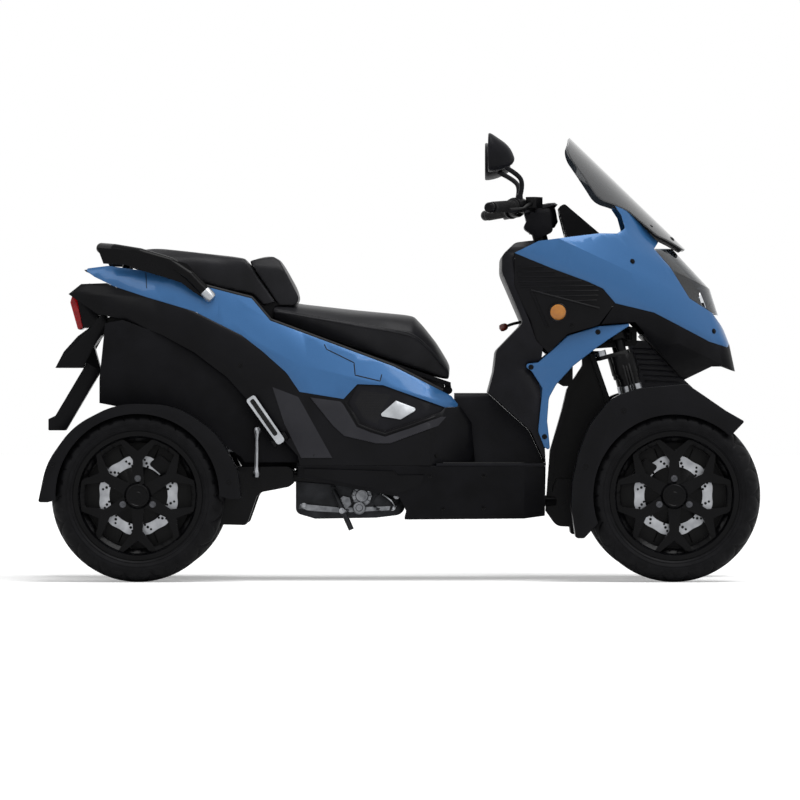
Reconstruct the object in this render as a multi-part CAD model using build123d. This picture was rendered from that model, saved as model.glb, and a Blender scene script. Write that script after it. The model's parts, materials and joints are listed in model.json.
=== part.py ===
"""Four-wheeled leaning scooter, built as an assembly of named pieces, in millimetres.

X points forward, Y to the left and Z up. The origin is on the ground, under the middle of the machine's
box. Places at the front are measured from the front axle, and places at the rear from the rear axle, so
that a longer wheelbase stretches the floor, belly and side covers between them.
"""

import os
from math import cos, radians, sin, tan

from build123d import *

# Running gear
WHEELBASE = 1580.0
TRACK = 550.0
TYRE_RADIUS = 255.0
TYRE_WIDTH = 110.0
TYRE_SHOULDER = 33.0  # drop from the crown to the widest point
BEAD_RADIUS = 178.0
RIM_WIDTH = 92.0
RIM_WALL = 6.0
SPOKES = 6
HUB_RADIUS = 40.0
AXLE_RADIUS = 12.0
DISC_RADIUS = 120.0
DISC_THICKNESS = 5.0
DISC_LOBES = 12

# Steering
RAKE = 15.0  # degrees that the kingpins and the column lean back
KINGPIN_SETBACK = 35.0  # behind the axle at hub height
KINGPIN_Y = 172.0
STRUT_RADIUS = 29.0
PIN_RADIUS = 14.0
STEER_ARM = 60.0
HEADSTOCK = (-326.94, 794.0)  # its middle: from the front axle, and above the ground
BAR_HEIGHT = 1104.0
BAR_HALF_WIDTH = 385.0
BAR_RADIUS = 11.0

# Bodywork
REAR_OVERHANG = 292.0  # from the rear axle to the tip of the rear mudguard
SKIN = 4.0
PANEL_GAP = 0.6
RUNNING_FIT = 0.05
SEAT_GAP = 0.6
FLOOR_HEIGHT = 342.0
FLOOR_THICKNESS = 7.0
SILL_HALF_WIDTH = 230.0
FAIRING_SLOPE = 25.0  # degrees that the nose panels fall towards the front

FRONT_X = (WHEELBASE + REAR_OVERHANG - TYRE_RADIUS) / 2
REAR_X = FRONT_X - WHEELBASE
WHEEL_Y = TRACK / 2
AXLE_Z = TYRE_RADIUS
floor_top = FLOOR_HEIGHT + 0.5 + FLOOR_THICKNESS
FAR = 900.0  # half the width of a cutting slab, wider than the machine


# Outlines and the planes that they are drawn on
def outline(points):
    """A face round (a, b) or (a, b, radius) corners, with an arc at each corner that has a radius."""
    corners = []
    for i, point in enumerate(points):
        here = Vector(point[0], point[1])
        before = Vector(*points[i - 1][:2])
        after = Vector(*points[(i + 1) % len(points)][:2])
        radius = point[2] if len(point) > 2 else 0.0
        arrive, leave = (here - before).normalized(), (after - here).normalized()
        if radius:
            half_turn = radians(arrive.get_angle(leave)) / 2
            cut = radius * tan(half_turn)
            inward = (leave - arrive).normalized()
            middle = here + inward * (radius / cos(half_turn) - radius)
            corners.append((here - arrive * cut, middle, here + leave * cut))
        else:
            corners.append((here, None, here))
    edges = []
    for (start, middle, end), (following, _, _) in zip(corners, corners[1:] + corners[:1]):
        if middle is not None:
            edges.append(ThreePointArc(start, middle, end))
        if (following - end).length > 1e-4:
            edges.append(Line(end, following))
    return make_face(edges)


def shift(points, dx=0.0, dz=0.0):
    return [(p[0] + dx, p[1] + dz, *p[2:]) for p in points]


def side_slab(face, y_low, y_high):
    """Extrudes a face drawn in side view, X across and Z up, from y_low to y_high."""
    plane = Plane(origin=(0, y_high, 0), x_dir=(1, 0, 0), z_dir=(0, -1, 0))
    return extrude(plane * face, amount=y_high - y_low)


def plan_slab(face, z_low, z_high):
    """Extrudes a face drawn from above, X across and Y up the page."""
    return extrude(Plane.XY.offset(z_low) * face, amount=z_high - z_low)


def front_slab(face, x_low, x_high):
    """Extrudes a face drawn from the front, Y across and Z up."""
    return extrude(Plane.YZ.offset(x_low) * face, amount=x_high - x_low)


def rod(start, end, radius):
    """A round bar between two points."""
    start, end = Vector(*start), Vector(*end)
    along = end - start
    return extrude(Plane(origin=start, z_dir=along) * Circle(radius), amount=along.length)


def tube_run(points, radius):
    """A bar of round section along a run of points, with a ball at each bend."""
    bar = rod(points[0], points[1], radius)
    for start, end in zip(points[1:], points[2:]):
        bar += Pos(*start) * Sphere(radius) + rod(start, end, radius)
    return bar


def both_sides(shape):
    return [shape, mirror(shape, Plane.XZ)]


def at_front(points):
    return shift(points, FRONT_X)


def at_rear(points):
    return shift(points, REAR_X)


parts = {}


# Wheels: tyre, cast rim with forked spokes, and a wave brake disc, with the outer side towards +Y
DISC_FLANGE = 86.0
DISC_INNER = 80.0
FLANGE_Y = -27.0  # where the disc sits, from the middle of the wheel
SPOKE_Y = (8.0, 34.0)
CAP_Y = 44.0
FORK_HALF_ANGLE = 18.5
FORK_RADIUS = 180.0
JUNCTION_RADIUS = 132.0
SPOKE_ROOT_HALF = 19.0
SPOKE_NECK = (104.0, 14.0)
BRANCH_HALF = 5.2
LEFT_TURN = 30.0  # degrees that the left wheels stand turned from the right ones


def wheel_tyre():
    half, shoulder = TYRE_WIDTH / 2, TYRE_RADIUS - TYRE_SHOULDER
    seat = RIM_WIDTH / 2 - 4.3
    bead, flange = BEAD_RADIUS + 0.4, BEAD_RADIUS + 13.0
    crown = ThreePointArc((half, shoulder), (0, TYRE_RADIUS), (-half, shoulder))
    walls = []
    for side in (1, -1):
        bulge = ((seat + half) / 2 * side + 3.5 * side, (flange + shoulder) / 2)
        walls.append(ThreePointArc((seat * side, flange), bulge, (half * side, shoulder)))
        walls.append(Line((seat * side, bead), (seat * side, flange)))
    face = make_face([crown, *walls, Line((seat, bead), (-seat, bead))])
    return revolve(Plane.YZ * face, Axis.Y)


def wheel_spoke():
    """One spoke along +X: a broad root, a neck and two branches that meet the rim."""
    angle = radians(FORK_HALF_ANGLE)
    tip = Vector(FORK_RADIUS * cos(angle), FORK_RADIUS * sin(angle))
    along = (tip - Vector(JUNCTION_RADIUS - 14.0, 0)).normalized()
    across = Vector(-along.Y, along.X) * BRANCH_HALF
    outer, inner = tip + across, tip - across
    neck_x, neck_half = SPOKE_NECK
    upper = [(HUB_RADIUS - 8, SPOKE_ROOT_HALF), (neck_x, neck_half), (outer.X, outer.Y),
        (inner.X, inner.Y)]
    lower = [(x, -y) for x, y in reversed(upper)]
    return side_slab(outline(upper + [(JUNCTION_RADIUS, 0)] + lower), *SPOKE_Y)


def wheel_rim():
    half, bead = RIM_WIDTH / 2, BEAD_RADIUS
    well, lip = bead - 15.0, bead + 12.0
    outer = [(half, lip), (half - 4, lip), (half - 4, bead), (24, bead - 2), (16, well)]
    inner = [(half, bead - 2), (26, bead - 2 - RIM_WALL), (18, well - RIM_WALL)]
    top = [(-y, r) for y, r in outer] + [(y, r) for y, r in reversed(outer)]
    bottom = [(y, r) for y, r in inner] + [(-y, r) for y, r in reversed(inner)]
    rim = revolve(Plane.YZ * outline(top + bottom), Axis.Y)
    turned = [(SPOKE_Y[1], HUB_RADIUS), (CAP_Y, HUB_RADIUS - 6), (CAP_Y, 0.0), (FLANGE_Y, 0.0)]
    turned += [(FLANGE_Y, DISC_FLANGE), (FLANGE_Y + 5, DISC_FLANGE), (FLANGE_Y + 9, HUB_RADIUS)]
    rim += revolve(Plane.YZ * outline(turned), Axis.Y)
    limit = rod((0, SPOKE_Y[0] - 1, 0), (0, SPOKE_Y[1] + 1, 0), bead - RIM_WALL - 1.0)
    spoke = wheel_spoke() & limit
    for i in range(SPOKES):
        rim += Rot(0, i * 360 / SPOKES + 30, 0) * spoke
    return rim - rod((0, FLANGE_Y - 1, 0), (0, SPOKE_Y[1] - 2, 0), AXLE_RADIUS + RUNNING_FIT)


def wheel_disc():
    y_low, y_high = FLANGE_Y - DISC_THICKNESS, FLANGE_Y
    disc = rod((0, y_low, 0), (0, y_high, 0), DISC_RADIUS)
    disc -= rod((0, y_low - 1, 0), (0, y_high + 1, 0), DISC_INNER)
    scallop = Pos(DISC_RADIUS + 8, 0, 0) * rod((0, y_low - 1, 0), (0, y_high + 1, 0), 14.0)
    for i in range(DISC_LOBES):
        disc -= Rot(0, i * 360 / DISC_LOBES, 0) * scallop
    return disc


AXLES = {"front": FRONT_X, "rear": REAR_X}
SIDES = {"left": 1, "right": -1}
tyre, rim, disc = wheel_tyre(), wheel_rim(), wheel_disc()
for end, axle_x in AXLES.items():
    for side, sign in SIDES.items():
        for name, shape in (("tyre", tyre), ("rim", rim), ("brake_disc", disc)):
            facing = Rot(0, LEFT_TURN, 0) * shape if sign > 0 else mirror(shape, Plane.XZ)
            parts[f"{name}_{end}_{side}"] = Pos(axle_x, sign * WHEEL_Y, AXLE_Z) * facing


# Hub end of a carrier: boss, spacer, axle and brake caliper on its bracket, for the left wheel
BOSS_RADIUS = 38.0
BOSS_END = WHEEL_Y + FLANGE_Y - 8.0
CALIPER_SLOT = 5.0  # clear each side of the disc


def hub_carrier(axle_x, inner_y, caliper_angle):
    boss = rod((axle_x, inner_y, AXLE_Z), (axle_x, BOSS_END, AXLE_Z), BOSS_RADIUS)
    spacer_end = WHEEL_Y + FLANGE_Y - 0.5
    boss += rod((axle_x, BOSS_END, AXLE_Z), (axle_x, spacer_end, AXLE_Z), AXLE_RADIUS + 8)
    boss += rod((axle_x, BOSS_END, AXLE_Z), (axle_x, WHEEL_Y + SPOKE_Y[1] - 5, AXLE_Z), AXLE_RADIUS)
    slot_low = WHEEL_Y + FLANGE_Y - DISC_THICKNESS - CALIPER_SLOT
    slot_high = WHEEL_Y + FLANGE_Y + CALIPER_SLOT
    arm = outline([(10, -22), (100, -20), (100, 20), (10, 22)])
    bracket = side_slab(arm, slot_low - 11, slot_low - 1)
    body = outline([(90, -36, 8), (134, -30, 8), (134, 30, 8), (90, 36, 8)])
    caliper = side_slab(body, slot_low - 18, slot_high + 13)
    caliper -= side_slab(outline([(80, -60), (DISC_RADIUS + 5, -60), (DISC_RADIUS + 5, 60), (80, 60)]),
        slot_low, slot_high)
    return boss + Pos(axle_x, 0, AXLE_Z) * (Rot(0, -caliper_angle, 0) * (bracket + caliper))


# Front uprights: a strut on the kingpin axis, its collar and steering arm, and the hub carrier
LEAN = Vector(-sin(radians(RAKE)), 0, cos(radians(RAKE)))
BACKWARD = Vector(-cos(radians(RAKE)), 0, -sin(radians(RAKE)))
STRUT_SPAN = (-62.0, 375.0)  # along the kingpin from hub height
COLLAR_TOP = 431.0
ARM_THICKNESS = 12.0
UPPER_EYE = (480.0, 514.0)
LOWER_EYE = (-104.0, -66.0)
EYE_RADIUS = 26.0
LINK_PIN_RADIUS = 5.0
LINK_EYE_RADIUS = 13.0
LINK_PIN_LENGTH = 16.0
LINK_OFFSET = 17.0  # of each track rod's pin from the middle of its arm, outwards
KINGPIN = Vector(FRONT_X - KINGPIN_SETBACK, KINGPIN_Y, AXLE_Z)
FRONT_CALIPER_ANGLE = 140.0
GUARD_HALF = TYRE_WIDTH / 2 + 8.0
STAY_END = WHEEL_Y - GUARD_HALF - 0.3  # the stays stop just short of the mudguard's inner wall
FRONT_STAYS = [
    ([(-118, 436), (-78, 440), (-84, 486), (-150, 524, 8), (-176, 506, 8)], KINGPIN_Y + 16),
    ([(-20, 232), (-20, 278), (-268, 350, 8), (-280, 326, 8)], STAY_END - 9),
]


def on_kingpin(s):
    return KINGPIN + LEAN * s


def steer_arm(centre, length, pin_length):
    """A flat arm that points backward from a steering axis, with the track rod's pin on its end."""
    reach = BACKWARD * length + Vector(0, LINK_OFFSET, 0)
    root = Plane(origin=centre, x_dir=reach, z_dir=LEAN)
    length = reach.length
    face = outline([(-18, -18, 8), (length * 0.6, -15), (length + 12, -12, 10), (length + 12, 12, 10),
        (length * 0.6, 15), (-18, 18, 8)])
    pin = rod(centre + reach, centre + reach + LEAN * (ARM_THICKNESS + pin_length), LINK_PIN_RADIUS)
    return extrude(root * face, amount=ARM_THICKNESS) + pin


def front_upright():
    upright = rod(on_kingpin(STRUT_SPAN[0]), on_kingpin(STRUT_SPAN[1]), STRUT_RADIUS)
    upright += rod(on_kingpin(STRUT_SPAN[1]), on_kingpin(COLLAR_TOP), STRUT_RADIUS + 6)
    upright += rod(on_kingpin(COLLAR_TOP), on_kingpin(UPPER_EYE[1] + 6), PIN_RADIUS)
    upright += rod(on_kingpin(LOWER_EYE[0] - 6), on_kingpin(STRUT_SPAN[0]), PIN_RADIUS)
    upright += steer_arm(on_kingpin(COLLAR_TOP), STEER_ARM, LINK_PIN_LENGTH)
    for points, inner_y in FRONT_STAYS:
        upright += side_slab(outline(at_front(points)), inner_y, STAY_END)
    return upright + hub_carrier(FRONT_X, KINGPIN_Y - 20, FRONT_CALIPER_ANGLE)


# Front mudguard: a deep moulded arch with a pointed nose and a long rear flap
GUARD_CLEARANCE = 9.0
GUARD_WALL = 5.0
GUARD_SKIRT = 16.0  # how far the side skirts come down over the tyre's shoulder


def tyre_arch(axle_x, radius, half_width):
    centre = (axle_x, WHEEL_Y, AXLE_Z)
    return Pos(*centre) * rod((0, -half_width, 0), (0, half_width, 0), radius)


def mudguard(points, axle_x, skirt):
    """A closed side view, opened below by the wheel's channel and by the arc of its skirts."""
    block = side_slab(outline(points), WHEEL_Y - GUARD_HALF, WHEEL_Y + GUARD_HALF)
    block -= tyre_arch(axle_x, TYRE_RADIUS + GUARD_CLEARANCE, GUARD_HALF - GUARD_WALL)
    return block - tyre_arch(axle_x, TYRE_RADIUS - skirt, FAR)


front_guard_side = at_front([
    (206, 474, 5), (150, 506), (82, 553), (36, 584, 20), (-100, 572, 80), (-182, 546, 100),
    (-250, 463, 180),
    (-283, 375), (-301, 294), (-304, 221), (-290, 130, 8), (-266, 130, 8), (-150, 255), (40, 300),
])

# Rear swinging arm, with the pivot bush at its front end and the hub carrier at the rear
PIVOT = (430.0, 312.0)  # from the rear axle, and above the ground
PIVOT_TUBE_RADIUS = 18.0
SWING_Y = (150.0, 198.0)
REAR_CALIPER_ANGLE = 50.0
REAR_STAYS = [
    ([(256, 262, 6), (298, 262, 6), (298, 326, 6), (256, 326, 6)], SWING_Y[1] - 6),
    ([(10, 232), (10, 278), (-254, 352, 8), (-266, 328, 8)], STAY_END - 9),
]
rear_arm_side = at_rear([
    (-30, 215, 24), (60, 190), (240, 168, 20), (318, 166, 14), (352, 262, 30), (456, 282, 22),
    (456, 340, 22),
    (300, 338, 40), (120, 322, 60), (-30, 300, 24),
])


def swing_arm():
    arm = side_slab(outline(rear_arm_side), *SWING_Y)
    bore_x = REAR_X + PIVOT[0]
    arm -= rod((bore_x, SWING_Y[0] - 1, PIVOT[1]), (bore_x, SWING_Y[1] - 8, PIVOT[1]),
        PIVOT_TUBE_RADIUS + 0.3)
    for points, inner_y in REAR_STAYS:
        arm += side_slab(outline(at_rear(points)), inner_y, STAY_END)
    return arm + hub_carrier(REAR_X, SWING_Y[0], REAR_CALIPER_ANGLE)


rear_guard_side = at_rear([
    (304, 246, 8), (296, 330, 170), (232, 440, 225), (110, 522, 225), (-60, 527, 225), (-190, 460, 225),
    (-268, 350, 200),
    (-REAR_OVERHANG, 236, 6), (-262, 236, 6), (-150, 280), (0, 300), (150, 280), (270, 246, 6),
])

REAR_SKIRT = 14.0
for side, sign in SIDES.items():
    pieces = {"upright": front_upright(),
        "front_mudguard": mudguard(front_guard_side, FRONT_X, GUARD_SKIRT)}
    for name, shape in pieces.items():
        parts[f"{name}_{side}"] = shape if sign > 0 else mirror(shape, Plane.XZ)
parts["swing_arms"] = Compound(children=both_sides(swing_arm()))
parts["rear_mudguards"] = Compound(children=both_sides(mudguard(rear_guard_side, REAR_X, REAR_SKIRT)))

# Frame: front column, lower spine, headstock, side rails and the pivot tube of the rear arms
COLUMN_HALF = 42.0
COLUMN_WEB = 12.0  # half the thickness left between the pockets
COLUMN_RIM = 14.0
SPINE_HALF = 40.0
RAIL_RADIUS = 16.0
RAIL_Y = 130.0
TILT_PIN_RADIUS = 10.0
TUB_FLOOR = 470.0
TUB_POSTS = (640.0, 790.0)  # from the rear axle
POST_Y = 119.0
TILT_PIN_Y = 70.0
TILT_PIN_HALF = 34.0
HEADSTOCK_RADIUS = 26.0
HEADSTOCK_HALF = 81.0
HEAD = Vector(FRONT_X + HEADSTOCK[0], 0, HEADSTOCK[1])
COLUMN_TOP = HEAD + LEAN * ((BAR_HEIGHT - HEADSTOCK[1]) / LEAN.Z)


def on_column(s):
    """A point on the steering axis, measured up from the middle of the headstock."""
    return HEAD + LEAN * s


def tilt_pin_centre(eye):
    middle = on_kingpin((eye[0] + eye[1]) / 2)
    return Vector(middle.X, TILT_PIN_Y, middle.Z)


def frame():
    face = outline(at_front([
        (-372, 205), (-330, 205), (-190, 300, 60), (-182, 546), (-232, 690), (-100, 700, 10),
        (-100, 752, 10), (-300, 800, 20),
        (-345, 806, 10), (-330, 738), (-262, 726, 10), (-262, 640, 20), (-309, 569), (-324, 506),
        (-359, 384),
    ]))
    column = side_slab(face, -COLUMN_HALF, COLUMN_HALF)
    for pocket in both_sides(side_slab(offset(face, -COLUMN_RIM), COLUMN_WEB, COLUMN_HALF + 1)):
        column -= pocket
    spine = side_slab(outline(at_front([
        (-372, 205), (-340, 160, 30), (60, 140, 12), (60, 200, 12), (-190, 232, 40), (-220, 300),
        (-340, 300),
    ])), -SPINE_HALF, SPINE_HALF)
    body = column + spine + rod(on_column(-HEADSTOCK_HALF), on_column(HEADSTOCK_HALF), HEADSTOCK_RADIUS)
    for eye in (UPPER_EYE, LOWER_EYE):
        pin = tilt_pin_centre(eye)
        for sign in (1, -1):
            lug = (pin.X, sign * (COLUMN_HALF if eye is UPPER_EYE else SPINE_HALF) * 0.5, pin.Z)
            for dx in (-TILT_PIN_HALF, TILT_PIN_HALF):
                start = (lug[0] + dx - 6, lug[1], lug[2])
                plate = front_slab(outline([(0, -16), (TILT_PIN_Y, -16, 12), (TILT_PIN_Y + 16, 0, 14),
                    (TILT_PIN_Y, 16, 12), (0, 16)]), 0, 12)
                plate = Pos(start[0], 0, start[2]) * plate
                body += plate if sign > 0 else mirror(plate, Plane.XZ)
            body += rod((pin.X - TILT_PIN_HALF, sign * TILT_PIN_Y, pin.Z),
                (pin.X + TILT_PIN_HALF, sign * TILT_PIN_Y, pin.Z), TILT_PIN_RADIUS)
    body -= rod(on_column(-HEADSTOCK_HALF - 60), on_column(HEADSTOCK_HALF + 1), PIN_RADIUS + RUNNING_FIT)
    rails = rod((REAR_X + PIVOT[0], -SWING_Y[1] + 9, PIVOT[1]),
        (REAR_X + PIVOT[0], SWING_Y[1] - 9, PIVOT[1]), PIVOT_TUBE_RADIUS)
    for sign in (1, -1):
        rails += tube_run([(FRONT_X - 345, sign * 30, 235), (REAR_X + 960, sign * RAIL_Y, 240),
                           (REAR_X + 700, sign * RAIL_Y, 290),
                           (REAR_X + PIVOT[0], sign * RAIL_Y, PIVOT[1])], RAIL_RADIUS)
        for x in TUB_POSTS:
            rails += rod((REAR_X + x, sign * POST_Y, 280),
                (REAR_X + x, sign * POST_Y, TUB_FLOOR - 0.4), 8.0)
    return body + rails


parts["frame"] = frame()


# Leaning arms between the frame and the uprights, with an eye on the kingpin and a bush on the frame's pin
def tilt_arm(eye):
    centre = on_kingpin((eye[0] + eye[1]) / 2)
    pin = tilt_pin_centre(eye)
    bush_half = TILT_PIN_HALF - 6.4
    ring = rod(on_kingpin(eye[0]), on_kingpin(eye[1]), EYE_RADIUS)
    bush = rod((pin.X - bush_half, pin.Y, pin.Z), (pin.X + bush_half, pin.Y, pin.Z), TILT_PIN_RADIUS + 8)
    bar = rod((pin.X - 13, pin.Y, pin.Z), (centre.X - 8, centre.Y, centre.Z), 9.0)
    bar += rod((pin.X + 13, pin.Y, pin.Z), (centre.X + 8, centre.Y, centre.Z), 9.0)
    arm = ring + bush + bar
    arm -= rod(on_kingpin(eye[0] - 1), on_kingpin(eye[1] + 1), PIN_RADIUS + RUNNING_FIT)
    return arm - rod((pin.X - FAR, pin.Y, pin.Z), (pin.X + FAR, pin.Y, pin.Z),
        TILT_PIN_RADIUS + RUNNING_FIT)


parts["tilt_arms"] = Compound(children=[s for eye in (UPPER_EYE,
    LOWER_EYE) for s in both_sides(tilt_arm(eye))])

# Track rods from the column's drop arm to the uprights
DROP_ARM_S = -123.0  # along the steering axis from the middle of the headstock
DROP_ARM_CENTRE = on_column(DROP_ARM_S)


def track_rod():
    reach = BACKWARD * STEER_ARM + LEAN * ARM_THICKNESS + Vector(0, LINK_OFFSET, 0)
    inner, outer = DROP_ARM_CENTRE + reach, on_kingpin(COLLAR_TOP) + reach
    bar = rod(inner + LEAN * 10, outer + LEAN * 10, 5.0)
    for end in (inner, outer):
        bar += rod(end + LEAN * 0.3, end + LEAN * 16, LINK_EYE_RADIUS)
    for end in (inner, outer):
        bar -= rod(end - LEAN * 5, end + LEAN * 40, LINK_PIN_RADIUS + RUNNING_FIT)
    return bar


for side, sign in SIDES.items():
    parts[f"track_rod_{side}"] = track_rod() if sign > 0 else mirror(track_rod(), Plane.XZ)


# Handlebar: stem, drop arm and swept tube; then grips, controls and mirrors
GRIP_RADIUS = 17.0
BAR_POINTS = [(0, 0, 4), (0, 90, 6), (-32, 205, 10),
    (-135, BAR_HALF_WIDTH, -3)]  # from the top of the column
GRIP_SHARE = (0.30, 0.93)  # of the last, swept length of the bar


def bar_points(sign):
    return [COLUMN_TOP + Vector(x, sign * y, z) for x, y, z in BAR_POINTS]


def bar_place(sign, share):
    start, end = bar_points(sign)[-2:]
    return start + (end - start) * share


def handlebar():
    bar = rod(DROP_ARM_CENTRE, COLUMN_TOP, PIN_RADIUS)
    bar += rod(on_column(HEADSTOCK_HALF + 0.5), COLUMN_TOP - LEAN * 60, PIN_RADIUS + 8)
    bar += rod(COLUMN_TOP - LEAN * 60, COLUMN_TOP + LEAN * 14, PIN_RADIUS + 12)
    arm = Plane(origin=DROP_ARM_CENTRE, x_dir=BACKWARD, z_dir=LEAN)
    reach, half = STEER_ARM + 12, LINK_EYE_RADIUS + 16
    bar += extrude(arm * outline([(-18, -18, 8), (reach, -half, 10), (reach, half, 10), (-18, 18, 8)]),
        amount=ARM_THICKNESS)
    for sign in (1, -1):
        points = [tuple(p) for p in bar_points(sign)]
        bar += tube_run(points, BAR_RADIUS)
        link = DROP_ARM_CENTRE + BACKWARD * STEER_ARM + Vector(0, sign * LINK_OFFSET, 0)
        bar += rod(link, link + LEAN * (ARM_THICKNESS + LINK_PIN_LENGTH), LINK_PIN_RADIUS)
    return bar


def grip(sign):
    start, end = (bar_place(sign, share) for share in GRIP_SHARE)
    tip = bar_place(sign, 1.0)
    sleeve = rod(start, end, GRIP_RADIUS) + rod(start, start + (end - start) * 0.05, GRIP_RADIUS + 5)
    return sleeve - rod(start + (start - end) * 0.2, tip, BAR_RADIUS)


def control(sign):
    """Clamp, fluid reservoir and lever of one side."""
    clamp_a, clamp_b = bar_place(sign, 0.05), bar_place(sign, 0.22)
    along = (clamp_b - clamp_a).normalized()
    body = rod(clamp_a, clamp_b, BAR_RADIUS + 10)
    tank = clamp_a + Vector(38, 0, 16)
    tank_plane = Plane(origin=tank - Vector(0, 0, 24), x_dir=along, z_dir=(0, 0, 1))
    body += extrude(tank_plane * outline([(-24, -17, 8), (30, -17, 8), (30, 17, 8), (-24, 17, 8)]),
        amount=32)
    body += rod(clamp_a + along * 12, tank + along * 6 - Vector(0, 0, 6), 11.0)
    knee = bar_place(sign, 0.5) + Vector(50, 0, -8)
    tip = bar_place(sign, 0.98) + Vector(56, 0, -8)
    body += tube_run([tuple(tank + along * 16 - Vector(0, 0, 7)), tuple(knee), tuple(tip)], 6.0)
    return body - rod(bar_place(sign, -0.2), bar_place(sign, 1.2), BAR_RADIUS)


MIRROR_HEAD = Vector(-118, 318, 157)  # from the top of the column; the middle of the shell
MIRROR_HALF = (88.0, 66.0)  # half the width and half the height of the glass
MIRROR_DEPTH = 78.0


def mirror_arm(sign):
    head = COLUMN_TOP + Vector(MIRROR_HEAD.X, sign * MIRROR_HEAD.Y, MIRROR_HEAD.Z)
    wide, tall = MIRROR_HALF
    back = Plane(origin=head - Vector(18, 0, 0), x_dir=(0, sign, 0), z_dir=(1, 0, 0))
    face = [(-wide + 12, -tall + 26, 26), (wide - 22, -tall + 4, 30), (wide, tall - 30, 34),
        (wide - 40, tall, 34), (-wide, tall - 20, 26)]
    rear_face = outline([(x, y * sign, r) for x, y, r in face] if sign > 0 else [(x, -y, r) for x, y,
        r in reversed(face)][::-1])
    small = [(x * 0.46, y * 0.46, r * 0.46) for x, y, r in face]
    front_face = outline(small if sign > 0 else [(x, -y, r) for x, y, r in small])
    shell = loft([back * rear_face, back.offset(MIRROR_DEPTH) * front_face], ruled=True)
    foot = bar_place(sign, 0.13) + Vector(0, 0, BAR_RADIUS + 6)
    elbow = foot + Vector(4, sign * 12, 62)
    shell += tube_run([tuple(foot), tuple(elbow), tuple(head + Vector(10, -sign * 30, -26))], 7.5)
    return shell - control(sign)


parts["handlebar"] = handlebar()
parts["grips"] = Compound(children=[grip(s) for s in (1, -1)])
parts["bar_controls"] = Compound(children=[control(s) for s in (1, -1)])
parts["mirrors"] = Compound(children=[mirror_arm(s) for s in (1, -1)])


# Nose skin: plan sections stacked along the normal of the sloping side panels
NOSE_ORIGIN = (-478.0, 970.0)  # from the front axle, and above the ground
NOSE_BACK = -60.0
NOSE_LEVELS = [
    # level, half width at the back, then (along, half width) at mid length and at the tip, and the nose
    (-240, 222, 250, 205, 440, 110, 480),
    (-119, 250, 330, 228, 600, 85, 640),
    (-30, 268, 350, 240, 715, 60, 757),
    (35, 274, 350, 244, 668, 70, 708),
    (98, 270, 350, 236, 596, 90, 642),
    (160, 236, 300, 214, 520, 110, 585),
    (222, 196, 240, 184, 370, 110, 432),
    (290, 165, 200, 155, 280, 100, 320),
]


def nose_form(inset):
    slope = radians(FAIRING_SLOPE)
    plane = Plane(origin=(FRONT_X + NOSE_ORIGIN[0], 0, NOSE_ORIGIN[1]),
        x_dir=(cos(slope), 0, -sin(slope)),
                  z_dir=(sin(slope), 0, cos(slope)))
    sections = []
    for level, w_back, u_mid, w_mid, u_tip, w_tip, u_nose in NOSE_LEVELS:
        back, tip = (NOSE_BACK, w_back - inset), (u_tip - inset, w_tip - inset * 0.5)
        edges = [
            Line((back[0], -back[1]), back),
            ThreePointArc(back, (u_mid, w_mid - inset), tip),
            ThreePointArc(tip, (u_nose - inset, 0), (tip[0], -tip[1])),
            ThreePointArc((tip[0], -tip[1]), (u_mid, inset - w_mid), (back[0], -back[1])),
        ]
        sections.append(plane.offset(level) * make_face(edges))
    return loft(sections, ruled=True)


def through(face):
    return side_slab(face, -FAR, FAR)


nose_outer, nose_inner, nose_fit = nose_form(0.0), nose_form(SKIN), nose_form(SKIN + 0.5)
nose_skin = nose_outer - nose_inner

nose_face = outline(at_front([
    (-470, 971), (-399, 1006), (-219, 1030), (-165, 1030, 8), (-140, 1046, 6), (-151, 1085),
    (-176, 1123, 4), (-132, 1101, 6),
    (-39, 1006), (-53, 986), (-6, 932), (53, 839), (124, 796), (154, 757), (181, 711, 6), (171, 694, 4),
    (114, 711),
    (-55, 796), (-171, 823), (-208, 866), (-252, 886), (-361, 926),
]))
lens_face = outline(at_front([
    (-53, 986), (6, 988), (85, 935), (140, 856), (160, 785), (124, 796), (53, 839), (-6, 932),
]))
cowl_face = outline(at_front([
    (-171, 823), (-55, 796), (114, 711), (171, 694), (185, 720), (220, 640), (200, 620), (157, 637),
    (113, 637), (36, 599, 10), (-112, 767.5), (-212, 761),
]))
side_face = outline(at_front([
    (-470, 971), (-361, 926), (-252, 886), (-208, 866), (-171, 823), (-221, 758, 12), (-312, 732),
    (-368, 676), (-405, 714), (-424, 767),
    (-470, 876, 20),
]))
blue_room = offset(nose_face, PANEL_GAP)
side_room = offset(side_face, PANEL_GAP)
parts["nose_panel"] = nose_skin & through(nose_face)
parts["headlamp_lens"] = nose_skin & through(lens_face - blue_room)
parts["nose_cowl"] = nose_skin & through(cowl_face - blue_room)
parts["fairing_sides"] = nose_skin & through(side_face - blue_room - offset(cowl_face, PANEL_GAP))

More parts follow.
